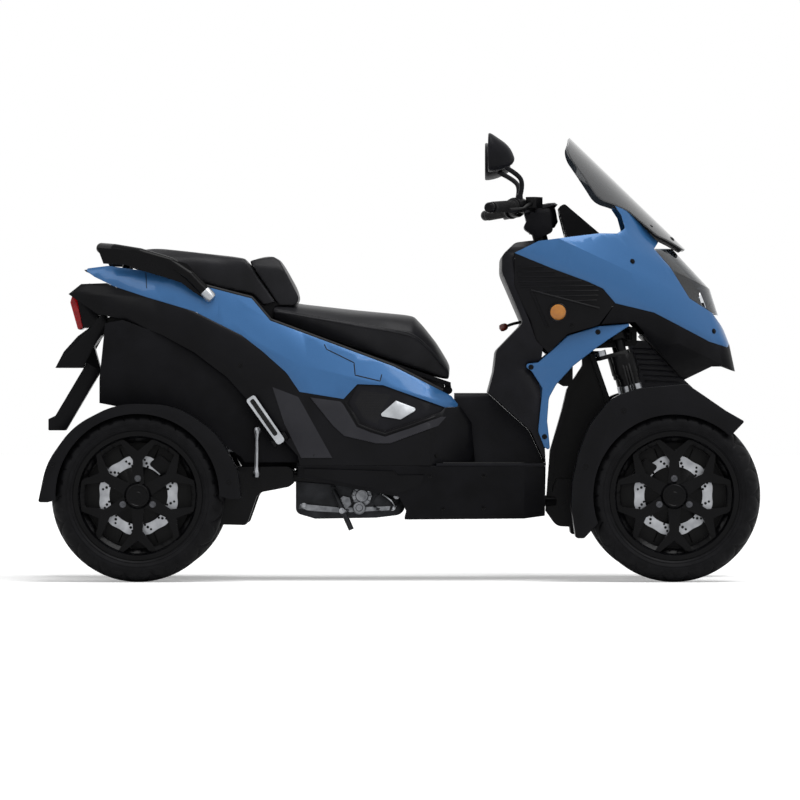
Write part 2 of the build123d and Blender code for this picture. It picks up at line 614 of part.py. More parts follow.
# Inside the nose: lamp housing, undertray, dash deck with its hood
LAMP_Y = 62.0
LAMP_RADIUS = 44.0
lamp_face = outline(at_front([
    (-52, 978), (-15, 965), (40, 915), (90, 850), (104, 800), (108, 745), (40, 760), (-60, 840),
    (-95, 930),
]))
lamp = nose_fit & through(lamp_face)
for sign in (1, -1):
    lamp -= Pos(FRONT_X + 88, sign * LAMP_Y, 838) * Rot(0, 68, 0) * Cone(16, LAMP_RADIUS, 70)
parts["headlamp_unit"] = lamp
tray_face = outline(at_front([
    (-88, 728), (36, 599), (113, 637), (157, 637), (200, 624), (205, 632), (157, 644), (110, 644),
    (38, 608), (-83, 734),
]))
parts["nose_cowl"] = Compound(children=[parts["nose_cowl"], nose_fit & through(tray_face)])
STEM_ROOM = 86.0
deck_face = outline(at_front([
    (-402, 1005), (-399, 1006), (-219, 1030), (-165, 1030), (-60, 1012), (-62, 1002), (-168, 1020),
    (-219, 1020), (-399, 996), (-402, 995),
]))
deck = nose_fit & through(deck_face)
stem_room = rod(on_column(120), COLUMN_TOP + LEAN * 100, STEM_ROOM)
deck -= stem_room
hood_face = outline(at_front([(-308, 1012), (-334, 1112, 6), (-318, 1122, 10), (-205, 1026)]))
parts["dash"] = deck + (side_slab(hood_face, -105, 105) - stem_room)

# Leg shield behind the nose, the blue side trims on its edges, and round reflectors
LEG_HALF = 204.5
leg_face = outline(at_front([
    (-405, 1012, 5), (-466, 1004, 30), (-506, 965, 30), (-507, 915, 60), (-443, 766, 20), (-522, 684, 25),
    (-530, 620, 40), (-546, 560, 6),
    (-420, 446, 60), (-376, floor_top + 0.5), (-384, 480), (-396, 600), (-385, 690), (-405, 770),
    (-440, 880, 30), (-440, 930, 30), (-420, 985),
]))
leg_front = outline([
    (-LEG_HALF, 340), (LEG_HALF, 340), (LEG_HALF, 640, 60), (258, 760, 60), (272, 900, 80),
    (262, 985, 40), (150, 1013, 60), (-150, 1013, 60),
    (-262, 985, 40), (-272, 900, 80), (-258, 760, 60), (-LEG_HALF, 640, 60),
])
leg = through(leg_face) & front_slab(leg_front, FRONT_X - 600, FRONT_X - 300)
TRIM_THICKNESS = 13.0
trim_face = outline(at_front([
    (-448, 643, 8), (-399, 648, 12), (-367, 676), (-312, 728), (-219, 756), (-118, 764, 4), (-186, 719),
    (-225, 692), (-296, 637, 60), (-345, 583, 40),
    (-367, 543, 40), (-372, 475), (-367, 429), (-363, 384, 6), (-381, 398, 6), (-399, 444, 30),
    (-386, 572, 20), (-418, 622, 12),
]))
trim = side_slab(trim_face, LEG_HALF + 0.4, LEG_HALF + 0.4 + TRIM_THICKNESS)
parts["side_trims"] = Compound(children=both_sides(trim))
leg -= through(side_room)
for beside in both_sides(side_slab(offset(trim_face, 0.5), LEG_HALF, FAR)):
    leg -= beside
parts["leg_shield"] = leg
REFLECTOR = (-341.0, 796.0)
REFLECTOR_RADIUS = 23.0
REFLECTOR_RISE = 8.0
reflector = rod((FRONT_X + REFLECTOR[0], 200, REFLECTOR[1]),
    (FRONT_X + REFLECTOR[0], 300, REFLECTOR[1]), REFLECTOR_RADIUS)
reflector = (reflector & nose_form(-REFLECTOR_RISE)) - nose_form(-0.4)
parts["reflectors"] = Compound(children=both_sides(reflector))

# Windscreen: a bent sheet, trimmed in its own sloping plane, on a black garnish
SCREEN_FOOT = (46.0, 988.0)
SCREEN_TOP = (-300.0, 1322.0)
SCREEN_HALF = 196.0
SCREEN_BEND = 84.0
SCREEN_THICKNESS = 4.0
GARNISH_LENGTH = 150.0


def screen_sheet(low, high, lift, thickness):
    foot = Vector(FRONT_X + SCREEN_FOOT[0], 0, SCREEN_FOOT[1])
    up = (Vector(FRONT_X + SCREEN_TOP[0], 0, SCREEN_TOP[1]) - foot).normalized()
    plane = Plane(origin=foot + up * low, x_dir=(0, 1, 0), z_dir=up)
    top = lift + thickness
    wide = SCREEN_HALF + 30
    drop = SCREEN_BEND * (wide / SCREEN_HALF) ** 2
    facing = plane.y_dir
    flip = 1 if facing.X > 0 else -1
    edges = [
        ThreePointArc((-wide, flip * (top - drop)), (0, flip * top), (wide, flip * (top - drop))),
        Line((wide, flip * (top - drop)), (wide, flip * (lift - drop))),
        ThreePointArc((wide, flip * (lift - drop)), (0, flip * lift), (-wide, flip * (lift - drop))),
        Line((-wide, flip * (lift - drop)), (-wide, flip * (top - drop))),
    ]
    return extrude(plane * make_face(edges), amount=high - low)


def screen_trim(points):
    foot = Vector(FRONT_X + SCREEN_FOOT[0], 0, SCREEN_FOOT[1])
    up = (Vector(FRONT_X + SCREEN_TOP[0], 0, SCREEN_TOP[1]) - foot).normalized()
    plane = Plane(origin=foot, x_dir=(0, 1, 0), z_dir=Vector(0, 1, 0).cross(up))
    flip = 1 if plane.y_dir.Z > 0 else -1
    return extrude(plane * outline([(y, flip * s, *r) for y, s, *r in points]), amount=FAR, both=True)


SCREEN_LENGTH = (Vector(*SCREEN_TOP) - Vector(*SCREEN_FOOT)).length
SCREEN_WAIST = 146.0
half_edge = [
    (60, 0, 30), (SCREEN_WAIST - 12, 92, 40), (SCREEN_WAIST, 205, 40), (SCREEN_HALF, 290, 60),
    (150, SCREEN_LENGTH - 20, 60), (40, SCREEN_LENGTH, 60),
]
screen_edge = half_edge + [(-y, *rest) for y, *rest in reversed(half_edge)]
parts["windscreen"] = screen_sheet(0, SCREEN_LENGTH, -SCREEN_THICKNESS,
    SCREEN_THICKNESS) & screen_trim(screen_edge)
screen_room = plan_slab(Rectangle(4000, 2 * SCREEN_WAIST + 14), 0, 2000)
over_screen = screen_sheet(0, SCREEN_LENGTH, -SCREEN_THICKNESS - 0.4, FAR / 4)
wider_edge = [(y + (7 if y > 0 else -7), *rest) for y, *rest in screen_edge]
parts["nose_panel"] -= over_screen & screen_room
parts["nose_panel"] -= over_screen & screen_trim(wider_edge)
half_garnish = [
    (50, 6, 26), (SCREEN_WAIST - 24, 94, 40), (SCREEN_WAIST - 12, 180), (100, GARNISH_LENGTH - 10, 60),
]
garnish_edge = half_garnish + [(-y, *rest) for y, *rest in reversed(half_garnish)]
garnish = screen_sheet(0, SCREEN_LENGTH, -SCREEN_THICKNESS - 12, 11.6) & screen_trim(garnish_edge)
parts["screen_garnish"] = garnish - through(blue_room) - through(offset(lens_face,
    PANEL_GAP)) - parts["dash"]

# Cover over the middle of the handlebar
cover_face = outline(shift([
    (-30, -54, 12), (8, 26, 14), (48, 12, 20), (60, -64, 12), (15, -84, 8),
], COLUMN_TOP.X, COLUMN_TOP.Z))
cover_front = outline(shift([
    (-46, -104, 10), (46, -104, 10), (50, -4, 26), (36, 36, 20), (-36, 36, 20), (-50, -4, 26),
], 0, COLUMN_TOP.Z))
cover = through(cover_face) & front_slab(cover_front, COLUMN_TOP.X - 100, COLUMN_TOP.X + 100)
parts["bar_cover"] = cover - parts["handlebar"]

# Belly pan and sills: trapezoid sections along X, opened at the back for the engine
BELLY = [
    # "r" from the rear axle or "f" from the front one, then half width and height, low and high
    ("r", 470, 165, 190, SILL_HALF_WIDTH, FLOOR_HEIGHT),
    ("r", 800, 165, 182, SILL_HALF_WIDTH, FLOOR_HEIGHT),
    ("f", -440, 130, 184, 214, FLOOR_HEIGHT),
    ("f", -376, 95, 192, 204, FLOOR_HEIGHT),
]


def belly_form(inset):
    sections = []
    for end, along, w_low, z_low, w_high, z_high in BELLY:
        x = along + (REAR_X if end == "r" else FRONT_X)
        face = outline([
            (inset - w_low, z_low + inset), (w_low - inset, z_low + inset),
            (w_high - inset, z_high + (1 if inset else 0)),
            (inset - w_high, z_high + (1 if inset else 0)),
        ])
        sections.append(Plane.YZ.offset(x) * face)
    return loft(sections, ruled=True)


belly = belly_form(0.0) - belly_form(SKIN)
wall_x = FRONT_X + BELLY[-1][1]
belly += belly_form(SKIN / 2) & front_slab(Rectangle(FAR, FAR), wall_x - SKIN,
    wall_x) & plan_slab(Rectangle(4000, FAR), 0, FLOOR_HEIGHT)
belly -= side_slab(outline(at_front([(-400, 145), (-340, 145), (-340, 312), (-400, 312)])),
    -SPINE_HALF - 24, SPINE_HALF + 24)
belly -= through(outline(at_rear([(400, 322), (476, 308), (650, 271), (770, 250, 10), (792, 205, 20),
    (776, 150), (400, 150)])))
parts["belly_pan"] = belly

# Floor boards and the tunnel between them
floor_rear, floor_front = REAR_X + 880, FRONT_X - 375
floor_plan = outline([
    (floor_rear, -SILL_HALF_WIDTH + 2), (FRONT_X - 440, -214), (floor_front, -200, 10),
    (floor_front, 200, 10), (FRONT_X - 440, 214),
    (floor_rear, SILL_HALF_WIDTH - 2),
])
boards = plan_slab(floor_plan, FLOOR_HEIGHT + 0.5, floor_top)
TUNNEL_LOW = 118.0
TUNNEL_HIGH = 84.0
TUNNEL_TOP = 558.0
tunnel_side = [
    (REAR_X + 935, floor_top + 0.4), (REAR_X + 935, 620), (FRONT_X - 552, 620), (FRONT_X - 549, 559),
    (FRONT_X - 424, 446, 60),
    (FRONT_X - 380, floor_top + 0.4),
]


def tunnel_form(inset):
    low, high, crown = TUNNEL_LOW - inset, TUNNEL_HIGH - inset, TUNNEL_TOP - inset
    section = outline([(-low, 300), (low, 300), (high, crown, 20), (-high, crown, 20)])
    return through(outline(tunnel_side)) & front_slab(section, REAR_X + 800, FRONT_X - 300)


parts["floor"] = Compound(children=[boards, tunnel_form(0.0) - tunnel_form(SKIN)])

# Tail skin: cross sections along X, widest at a crease that falls towards the floor
TAIL_SECTIONS = [
    # from the rear axle, then (half width, height) low down, at the crease and on top
    (-240, 108, 600, 118, 850, 95, 965),
    (60, 185, 560, 195, 836, 152, 965),
    (480, 229, 343, 207, 640, 152, 870),
    (860, 229, 343, 186, 545, 134, 650),
    (1000, 128, 343, 122, 500, 108, 560),
]


def tail_form(inset):
    sections = []
    for along, w_low, z_low, w_mid, z_mid, w_top, z_top in TAIL_SECTIONS:
        side = [(w_low - inset, z_low), (w_mid - inset, z_mid), (w_top - inset, z_top - inset)]
        section = outline(side + [(-y, z) for y, z in reversed(side)])
        sections.append(Plane.YZ.offset(REAR_X + along) * section)
    return loft(sections, ruled=True)


tail_outer, tail_inner, tail_fit = tail_form(0.0), tail_form(SKIN), tail_form(SKIN + 0.5)
tail_skin = tail_outer - tail_inner
tail_face = outline(at_rear([
    (-170, 927, 6), (-96, 936), (2, 922), (115, 894), (332, 838), (388, 772), (544, 714), (754, 636),
    (925, 549), (950, 517, 6), (906, 515),
    (722, 581), (646, 584), (605, 540), (475, 561), (436, 618, 60), (364, 682), (303, 729), (162, 800),
    (21, 842), (-78, 875), (-136, 903),
]))
cover_side = outline(at_rear([
    (-214, 852), (-176, 882), (-78, 885), (21, 860), (303, 760), (475, 600), (605, 560), (646, 590),
    (722, 590), (906, 530), (952, 518), (985, 470),
    (996, FLOOR_HEIGHT + 0.8), (476, FLOOR_HEIGHT + 0.8), (470, 372), (260, 604, 60), (162, 678),
    (68, 729), (-50, 776), (-102, 788), (-125, 791),
]))
vent_face = outline(at_rear([(618, 528), (656, 469, 12), (727, 444, 12), (892, 502), (906, 515),
    (722, 581), (646, 584)]))
tail_room = offset(tail_face, PANEL_GAP)
vent_room = offset(vent_face, PANEL_GAP)
parts["tail_panel"] = tail_skin & through(tail_face)
rear_covers = tail_skin & through(cover_side - tail_room - vent_room)
parts["rear_covers"] = rear_covers - plan_slab(Rectangle(4000, 4000), 0, FLOOR_HEIGHT + 0.8)
parts["rear_covers"] -= plan_slab(Pos((floor_rear + 2000), 0) * Rectangle(4000, 4000), 0, floor_top + 0.5)
vent_skin = tail_form(5.0) - tail_form(5.0 + SKIN)
parts["side_vents"] = vent_skin & through(offset(vent_face, 7.0))
parts["vent_inserts"] = (tail_form(0.5) - tail_form(4.8)) & through(outline(at_rear([(709, 490, 6),
    (760, 535, 6), (826, 510, 6), (774, 479, 6)])))

# Tail: deck under the pillion seat, end block, lamp, fender and plate arm
deck_strip = outline(at_rear([
    (-168, 924), (-96, 933), (2, 919), (115, 891), (330, 834), (327, 826), (115, 883), (2, 911),
    (-96, 925), (-160, 917),
]))
deck_wall = outline(at_rear([(326, 834), (333, 829), (371.5, 770), (371.5, 758), (362, 758), (322, 822)]))
tail_deck = tail_fit & (through(deck_strip) + through(deck_wall))
end_face = outline(at_rear([(-212, 852), (-176, 876), (-150, 884), (-100, 800), (-108, 790),
    (-126, 792)]))
tail_end = tail_fit & through(end_face)
LAMP_HALF = 82.0
lamp_side = outline(at_rear([(-211, 828, 4), (-205, 850), (-191, 841), (-173, 753), (-187, 743, 6)]))
mount_side = outline(at_rear([(-190.4, 840), (-128, 800), (-130, 756), (-172.4, 752)]))
parts["tail_lamp"] = side_slab(lamp_side, -LAMP_HALF, LAMP_HALF) - through(offset(end_face, 0.4))
WING_HALF = 96.0
wing_face = outline(at_rear([(-112, 800), (-145, 757), (-255, 634, 4), (-173, 633, 8), (-100, 768)]))
wing_hollow = outline(at_rear([(-90, 780), (-245, 610), (-150, 610), (-90, 730)]))
wing = side_slab(wing_face, -WING_HALF, WING_HALF) - side_slab(wing_hollow, 6 - WING_HALF,
    WING_HALF - 6) - through(offset(end_face, 0.4))
arm_face = outline(at_rear([(-200, 672), (-150, 727), (-122, 625), (-228, 446, 4), (-279, 446, 4),
    (-279, 480, 4), (-258, 490), (-166, 645)]))
ARM_HALF = 34.0
parts["tail_deck"] = Compound(children=[tail_deck, tail_end])
lamp_mount = side_slab(mount_side, -LAMP_HALF, LAMP_HALF) - through(offset(end_face, 0.4))
parts["tail_fender"] = wing + lamp_mount + side_slab(arm_face, -ARM_HALF, ARM_HALF)

# Grab rail round the pillion seat
RAIL_RUN = [(205, 188, 848), (150, 190, 905), (90, 180, 945), (0, 164, 972), (-75, 132, 985),
    (-118, 66, 990)]
GRAB_RADIUS = 16.0
rail_points = [(REAR_X + x, y, z) for x, y, z in RAIL_RUN]
rail = tube_run(rail_points, GRAB_RADIUS) + rod((REAR_X - 30, 148, 976), (REAR_X - 46, 96, 924), 11.0)
grab = rail + mirror(rail, Plane.XZ) + rod(rail_points[-1],
    (rail_points[-1][0], -rail_points[-1][1], rail_points[-1][2]), GRAB_RADIUS)
for sign in (1, -1):
    grab += Pos(rail_points[-1][0], sign * rail_points[-1][1], rail_points[-1][2]) * Sphere(GRAB_RADIUS)
grab = grab - parts["tail_panel"] - tail_deck
parts["grab_rail"] = max(grab.solids(), key=lambda solid: solid.volume)

# Inner fender between the rear wheels, and the silencer under it
FENDER_HALF = 184.0
fender_face = outline(at_rear([(-102, 764), (-52, 770), (255, 600, 20), (299, 537, 20), (299, 366),
    (-119, 366), (-119, 600, 60)]))
fender_hollow = outline(at_rear([(-97, 758), (-54, 763), (250, 594, 20), (330, 520), (330, 300),
    (-114, 300), (-114, 600, 60)]))
fender = side_slab(fender_face, -FENDER_HALF, FENDER_HALF) - side_slab(fender_hollow, SKIN - FENDER_HALF,
    FENDER_HALF - SKIN)
fender -= through(outline(at_rear([(-130, 300), (-130, 530), (0, 505), (150, 470), (310, 362),
    (310, 300)])))
plate_face = outline(at_rear([
    (-96, 766), (-50, 774), (66, 732), (164, 682), (264, 608), (470, 376), (474, 352), (312, 352),
    (299, 372), (290, 530), (250, 590), (-52, 762),
]))
for plate in both_sides(side_slab(plate_face, FENDER_HALF - SKIN, FENDER_HALF)):
    fender += plate
parts["inner_fender"] = fender - through(offset(cover_side, PANEL_GAP))

# Seat: a pan on a front hinge, rider's cushion, backrest and pillion cushion
SEAT_SLOPE = 0.34
SEAT_START = (382.0, 774.0)
HINGE = (918.0, 566.0)
HINGE_RADIUS = 6.0
PAN_THICKNESS = 12.0


def seat_line(x, drop=0.0):
    return SEAT_START[1] - SEAT_SLOPE * (x - SEAT_START[0]) - drop


CUSHION = [
    # from the rear axle, half width below, half width and height at the side, height in the middle
    (385, 128, 156, 806, 836),
    (480, 130, 164, 790, 818),
    (640, 128, 160, 762, 800),
    (815, 104, 120, 734, 784),
    (880, 80, 92, 668, 702),
    (926, 60, 68, 610, 630),
]


def cushion():
    sections = []
    for x, w_low, w_side, z_side, z_top in CUSHION:
        z_low = seat_line(x)
        edges = [
            Line((-w_low, z_low), (w_low, z_low)),
            Line((w_low, z_low), (w_side, z_side)),
            ThreePointArc((w_side, z_side), (0, z_top), (-w_side, z_side)),
            Line((-w_side, z_side), (-w_low, z_low)),
        ]
        sections.append(Plane.YZ.offset(REAR_X + x) * make_face(edges))
    return loft(sections, ruled=True)


rider = cushion()
pan_side = outline(at_rear([(384, seat_line(384)), (924, seat_line(924)),
    (924, seat_line(924, PAN_THICKNESS)), (384, seat_line(384, PAN_THICKNESS))]))
pan_plan = outline([(REAR_X + 380, -124), (REAR_X + 700, -118), (REAR_X + 930, -56), (REAR_X + 930, 56),
    (REAR_X + 700, 118), (REAR_X + 380, 124)])
pan = through(pan_side) & plan_slab(pan_plan, 400, 900)
hinge_at = (REAR_X + HINGE[0], HINGE[1])
pan += rod((hinge_at[0], -32, hinge_at[1]), (hinge_at[0], 32, hinge_at[1]), 11.0)
pan += side_slab(outline(at_rear([(904, 590), (924, 584), (927, 566), (909, 566)])), -32, 32)
pan -= rod((hinge_at[0], -FAR, hinge_at[1]), (hinge_at[0], FAR, hinge_at[1]), HINGE_RADIUS + RUNNING_FIT)
rest_face = outline(at_rear([(313, 956, 6), (392, 968, 10), (412, 956, 10), (478, 838, 8), (466, 816, 6),
    (410, 816)]))
rest_front = outline([(-128, 780), (128, 780), (128, 930, 40), (90, 975, 40), (-90, 975, 40),
    (-128, 930, 40)])
rest = (through(rest_face) & front_slab(rest_front, REAR_X + 200, REAR_X + 600)) - rider
pillion_face = outline(at_rear([(-7, 988, 10), (68, 983), (313, 956), (409, 820), (367, 812), (336, 847),
    (237, 866), (-7, 940, 10)]))
pillion_front = outline([(-140, 780), (140, 780), (140, 950, 40), (60, 992, 60), (-60, 992, 60),
    (-140, 950, 40)])
pillion = (through(pillion_face) & front_slab(pillion_front, REAR_X - 50, REAR_X + 500)) - rider - rest
parts["seat_pan"] = pan
parts["rider_cushion"] = rider - pan
parts["backrest"] = rest
parts["pillion_cushion"] = pillion

# Tub under the seat, with the lugs of the seat's hinge
TUB_HALF = 122.0
TUB_X = (372.0, 838.0)
TUB_WALL = 4.0


def tub_block(inset, drop):
    low, high = TUB_X[0] + inset, TUB_X[1] - inset
    face = outline(at_rear([(low, TUB_FLOOR + inset), (high, TUB_FLOOR + inset),
        (high, seat_line(high, drop)), (low, seat_line(low, drop))]))
    return side_slab(face, inset - TUB_HALF, TUB_HALF - inset)


rim_drop = PAN_THICKNESS + SEAT_GAP
tub = tub_block(0.0, rim_drop) - tub_block(TUB_WALL, -50.0)
lug_face = outline(at_rear([(830, 530), (838, 530), (922, 555, 6), (929, 566, 6), (924, 576, 6),
    (905, 576), (838, 566), (830, 566)]))
for lug in both_sides(side_slab(lug_face, 36, 46)):
    tub += lug
tub += rod((hinge_at[0], -46, hinge_at[1]), (hinge_at[0], 46, hinge_at[1]), HINGE_RADIUS)
web_face = outline(at_rear([(836, 540), (836, 602), (899, 580.6), (900, 560), (880, 545)]))
tub += side_slab(web_face, -36.5, 36.5)
parts["seat_tub"] = tub

# Engine: crankcase, cylinder, drive covers and a drain tube; then the silencer and its pipe
ENGINE_HALF = 96.0
case_face = outline(at_rear([
    (462, 200, 20), (520, 183, 20), (700, 186, 20), (783, 196, 30), (800, 300), (880, 330, 12),
    (880, 420, 12), (700, 440, 30), (500, 440, 30), (462, 380, 20),
]))
engine = side_slab(case_face, -ENGINE_HALF, ENGINE_HALF)
cover_profile = outline(at_rear([(466, 210, 40), (600, 196, 40), (770, 206, 34), (776, 262, 34),
    (620, 320, 50), (470, 330, 40)]))
for cap in both_sides(side_slab(cover_profile, ENGINE_HALF - 2, ENGINE_HALF + 14)):
    engine += cap
for sign in (1, -1):
    engine += rod((REAR_X + 725, sign * 80, 232), (REAR_X + 725, sign * 128, 232), 28.0)
    engine += rod((REAR_X + 562, sign * 80, 306),
        (REAR_X + 562, sign * (RAIL_Y - RAIL_RADIUS - 0.3), 306), 14.0)
tube = rod((REAR_X + 574, 142, 272), (REAR_X + 628, 150, 152),
    8.0) + rod((REAR_X + 574, ENGINE_HALF + 13.6, 272), (REAR_X + 574, 148, 272), 8.0)
parts["engine"] = Compound(children=[engine, mirror(tube - engine, Plane.XZ)])
SILENCER_RADIUS = 62.0
silencer = rod((REAR_X + 60, -118, 402), (REAR_X + 60, 118, 402), SILENCER_RADIUS)
silencer += tube_run([(REAR_X + 110, -40, 390), (REAR_X + 300, -60, 400), (REAR_X + 480, -60, 400)], 17.0)
silencer += rod((REAR_X + 20, -70, 372), (REAR_X - 60, -70, 350), 15.0)
silencer -= rod((REAR_X + 10, -70, 369.2), (REAR_X - 70, -70, 347.2), 12.0)
parts["silencer"] = silencer - engine

# Rear height links and the pillion's folding foot pegs with their brackets
LINK_Y = 212.0
PEG_PIVOT = (416.0, 420.0)
PEG_LENGTH = 152.0
PEG_LEAN = 35.0  # degrees from upright, towards the rear
PEG_Y = 246.0
PEG_PIN_RADIUS = 5.0
peg_up = Vector(-sin(radians(PEG_LEAN)), 0, cos(radians(PEG_LEAN)))
peg_axis = Vector(cos(radians(PEG_LEAN)), 0, sin(radians(PEG_LEAN)))
peg_at = Vector(REAR_X + PEG_PIVOT[0], PEG_Y, PEG_PIVOT[1])


def peg():
    plane = Plane(origin=peg_at - Vector(0, 10, 0), x_dir=peg_axis, z_dir=(0, 1, 0))
    toward = 1 if plane.y_dir.dot(peg_up) > 0 else -1
    face = outline([(-13, -12 * toward, 9), (13, -12 * toward, 9), (15, PEG_LENGTH * toward, 8),
        (-15, PEG_LENGTH * toward, 8)])
    bar = extrude(plane * face, amount=20)
    return bar - rod(peg_at - peg_axis * 60, peg_at + peg_axis * 60, PEG_PIN_RADIUS + RUNNING_FIT)


def peg_bracket():
    body = rod(peg_at - peg_axis * 24, peg_at + peg_axis * 24, PEG_PIN_RADIUS)
    for reach in (-24, 15.5):
        start = peg_at + peg_axis * reach
        plane = Plane(origin=start, x_dir=(0, 1, 0), z_dir=peg_axis)
        ear = outline([(-60, -16), (0, -12, 8), (11, 0, 9), (0, 12, 8), (-60, 16)])
        body += extrude(plane * ear, amount=8.5)
    return body - tail_form(-0.4)


for side, sign in SIDES.items():
    parts[f"foot_peg_{side}"] = peg() if sign > 0 else mirror(peg(), Plane.XZ)
link = rod((REAR_X + 347, SWING_Y[1] + 0.4, 318), (REAR_X + 347, LINK_Y + 6, 318), 9.0)
link += rod((REAR_X + 347, LINK_Y, 318), (REAR_X + 350, LINK_Y, 446), 5.0)
link += rod((REAR_X + 350, LINK_Y + 6, 446), (REAR_X + 350, LINK_Y - 20, 446), 9.0)
parts["rear_brackets"] = Compound(children=both_sides(link) + both_sides(peg_bracket()))

if __name__ == "__main__":
    os.makedirs("parts", exist_ok=True)
    for name, shape in parts.items():
        export_step(shape, f"parts/{name}.step")
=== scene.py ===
import json
import math

import bmesh
import bpy
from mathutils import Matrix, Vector
from mathutils.bvhtree import BVHTree


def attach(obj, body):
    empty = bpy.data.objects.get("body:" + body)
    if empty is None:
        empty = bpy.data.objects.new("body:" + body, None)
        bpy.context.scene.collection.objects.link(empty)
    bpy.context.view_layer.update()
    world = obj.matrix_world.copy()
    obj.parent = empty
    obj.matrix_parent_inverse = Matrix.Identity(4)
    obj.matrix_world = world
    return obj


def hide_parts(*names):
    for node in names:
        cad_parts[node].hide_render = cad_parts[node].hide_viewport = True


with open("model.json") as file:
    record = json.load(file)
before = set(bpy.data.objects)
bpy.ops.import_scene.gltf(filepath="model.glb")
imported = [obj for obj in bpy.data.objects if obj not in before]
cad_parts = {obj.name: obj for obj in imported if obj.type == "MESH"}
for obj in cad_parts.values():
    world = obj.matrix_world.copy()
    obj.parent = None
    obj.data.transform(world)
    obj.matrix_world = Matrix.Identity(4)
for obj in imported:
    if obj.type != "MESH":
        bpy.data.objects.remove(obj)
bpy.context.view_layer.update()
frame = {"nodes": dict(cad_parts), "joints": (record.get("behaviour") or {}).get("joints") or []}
solid = frame["nodes"]
pivot = {joint["name"]: Vector(joint["pos_m"]) for joint in frame["joints"]}
front_x, rear_x = pivot["spin_front_left"].x, pivot["spin_rear_left"].x
axle_z, wheel_y = pivot["spin_front_left"].z, pivot["spin_front_left"].y
ends, sides = {"front": front_x, "rear": rear_x}, {"left": 1, "right": -1}


# Tyres. Vulcanised rubber on a rounded scooter carcass, with raised rings on the sidewall above the bead
# and slanted water cuts moulded across the shoulders. The rubber is dull, with a paler bloom in its grain.
def linear(code):
    """An sRGB hex colour as linear values with alpha."""
    parts = [int(code[i:i + 2], 16) / 255 for i in (0, 2, 4)]
    return (*[c / 12.92 if c < 0.04045 else ((c + 0.055) / 1.055) ** 2.4 for c in parts], 1.0)


def put(tree, kind, inputs=None, **settings):
    """One node with its settings; an input is a value, or the socket that feeds it."""
    made = tree.nodes.new(kind)
    for key, value in settings.items():
        setattr(made, key, value)
    for key, value in (inputs or {}).items():
        if isinstance(value, bpy.types.NodeSocket):
            tree.links.new(value, made.inputs[key])
        else:
            made.inputs[key].default_value = value
    return made


def finish_named(name, **shader_values):
    """A new material, its tree, its shader and the place in the object that its patterns read."""
    material = bpy.data.materials.new(name)
    material.use_nodes = True
    tree = material.node_tree
    shader = tree.nodes["Principled BSDF"]
    for key, value in shader_values.items():
        shader.inputs[key.replace("_", " ")].default_value = value
    return material, tree, shader, put(tree, "ShaderNodeTexCoord").outputs["Object"]


def two_tone(tree, shader, amount, dark, light, low=0.0, high=1.0):
    """Base colour that an amount leads from a dark tone at its low mark to a light one at its high."""
    tone = put(tree, "ShaderNodeValToRGB", {"Fac": amount})
    for stop, mark, code in zip(tone.color_ramp.elements, (low, high), (dark, light)):
        stop.position, stop.color = mark, linear(code)
    tree.links.new(tone.outputs["Color"], shader.inputs["Base Color"])


def speckle(tree, shader, place, scale, dark, light, grain, depth):
    """Colour that wanders between two tones, over a fine raised grain, both coarser than the real ones.

    The scales are waves in a metre, and the depth is in metres.
    """
    cloud = put(tree, "ShaderNodeTexNoise", {"Vector": place, "Scale": scale, "Detail": 5.0})
    two_tone(tree, shader, cloud.outputs["Fac"], dark, light, 0.3, 0.7)
    pores = put(tree, "ShaderNodeTexNoise", {"Vector": place, "Scale": grain, "Detail": 2.0})
    bump = put(tree, "ShaderNodeBump", {"Height": pores.outputs["Fac"], "Strength": 0.3, "Distance": depth})
    tree.links.new(bump.outputs["Normal"], shader.inputs["Normal"])


def toned(name, scale, dark, light, grain, depth, **shader_values):
    """A new material with a speckle."""
    material, tree, shader, place = finish_named(name, **shader_values)
    speckle(tree, shader, place, scale, dark, light, grain, depth)
    return material


def piece(name, shape, material, body):
    """A closed mesh of (points, faces) in its place, which rides on a body in a given material."""
    mesh = bpy.data.meshes.new(name)
    mesh.from_pydata([tuple(p) for p in shape[0]], [], shape[1])
    bm = bmesh.new()
    bm.from_mesh(mesh)
    bmesh.ops.remove_doubles(bm, verts=bm.verts, dist=2e-6)
    bmesh.ops.recalc_face_normals(bm, faces=bm.faces)
    bm.to_mesh(mesh)
    bm.free()
    mesh.polygons.foreach_set("use_smooth", [True] * len(mesh.polygons))
    mesh.set_sharp_from_angle(angle=math.radians(38))
    mesh.materials.append(material)
    made = bpy.data.objects.new(name, mesh)
    bpy.context.scene.collection.objects.link(made)
    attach(made, body)
    return made


# The bloom is drawn at 26 mm and the pores at 2.4 mm, where real ones are under 0.2 mm.
rubber = toned(
    "vulcanised tyre rubber", 38.0, "08080A", "121214", 420.0, 0.0006,
    Roughness=0.5, Specular_IOR_Level=0.09)

tyre_radius, tyre_half, shoulder_drop, bead_radius = 0.255, 0.055, 0.033, 0.1785
pitches, steps = 36, 10
crown = (tyre_half ** 2 + shoulder_drop ** 2) / (2 * shoulder_drop)
tread = [(tyre_half * k / 12, k) for k in range(13)]
tread = [(y, tyre_radius - crown + math.sqrt(crown ** 2 - y * y), k) for y, k in tread]
wall = [
    (0.0552, 0.2150), (0.0548, 0.2110), (0.0556, 0.2105), (0.0556, 0.2085), (0.0542, 0.2080),
    (0.0515, 0.2005), (0.0500, 0.2000), (0.0500, 0.1975), (0.0478, 0.1968), (0.0445, 0.1915),
    (0.0417, 0.1905), (0.0417, bead_radius),
]
half_section = tread + [(y, r, 99) for y, r in wall]
section = [(-y, r, k) for y, r, k in reversed(half_section)] + half_section[1:]
rounds, row = pitches * steps, len(section)


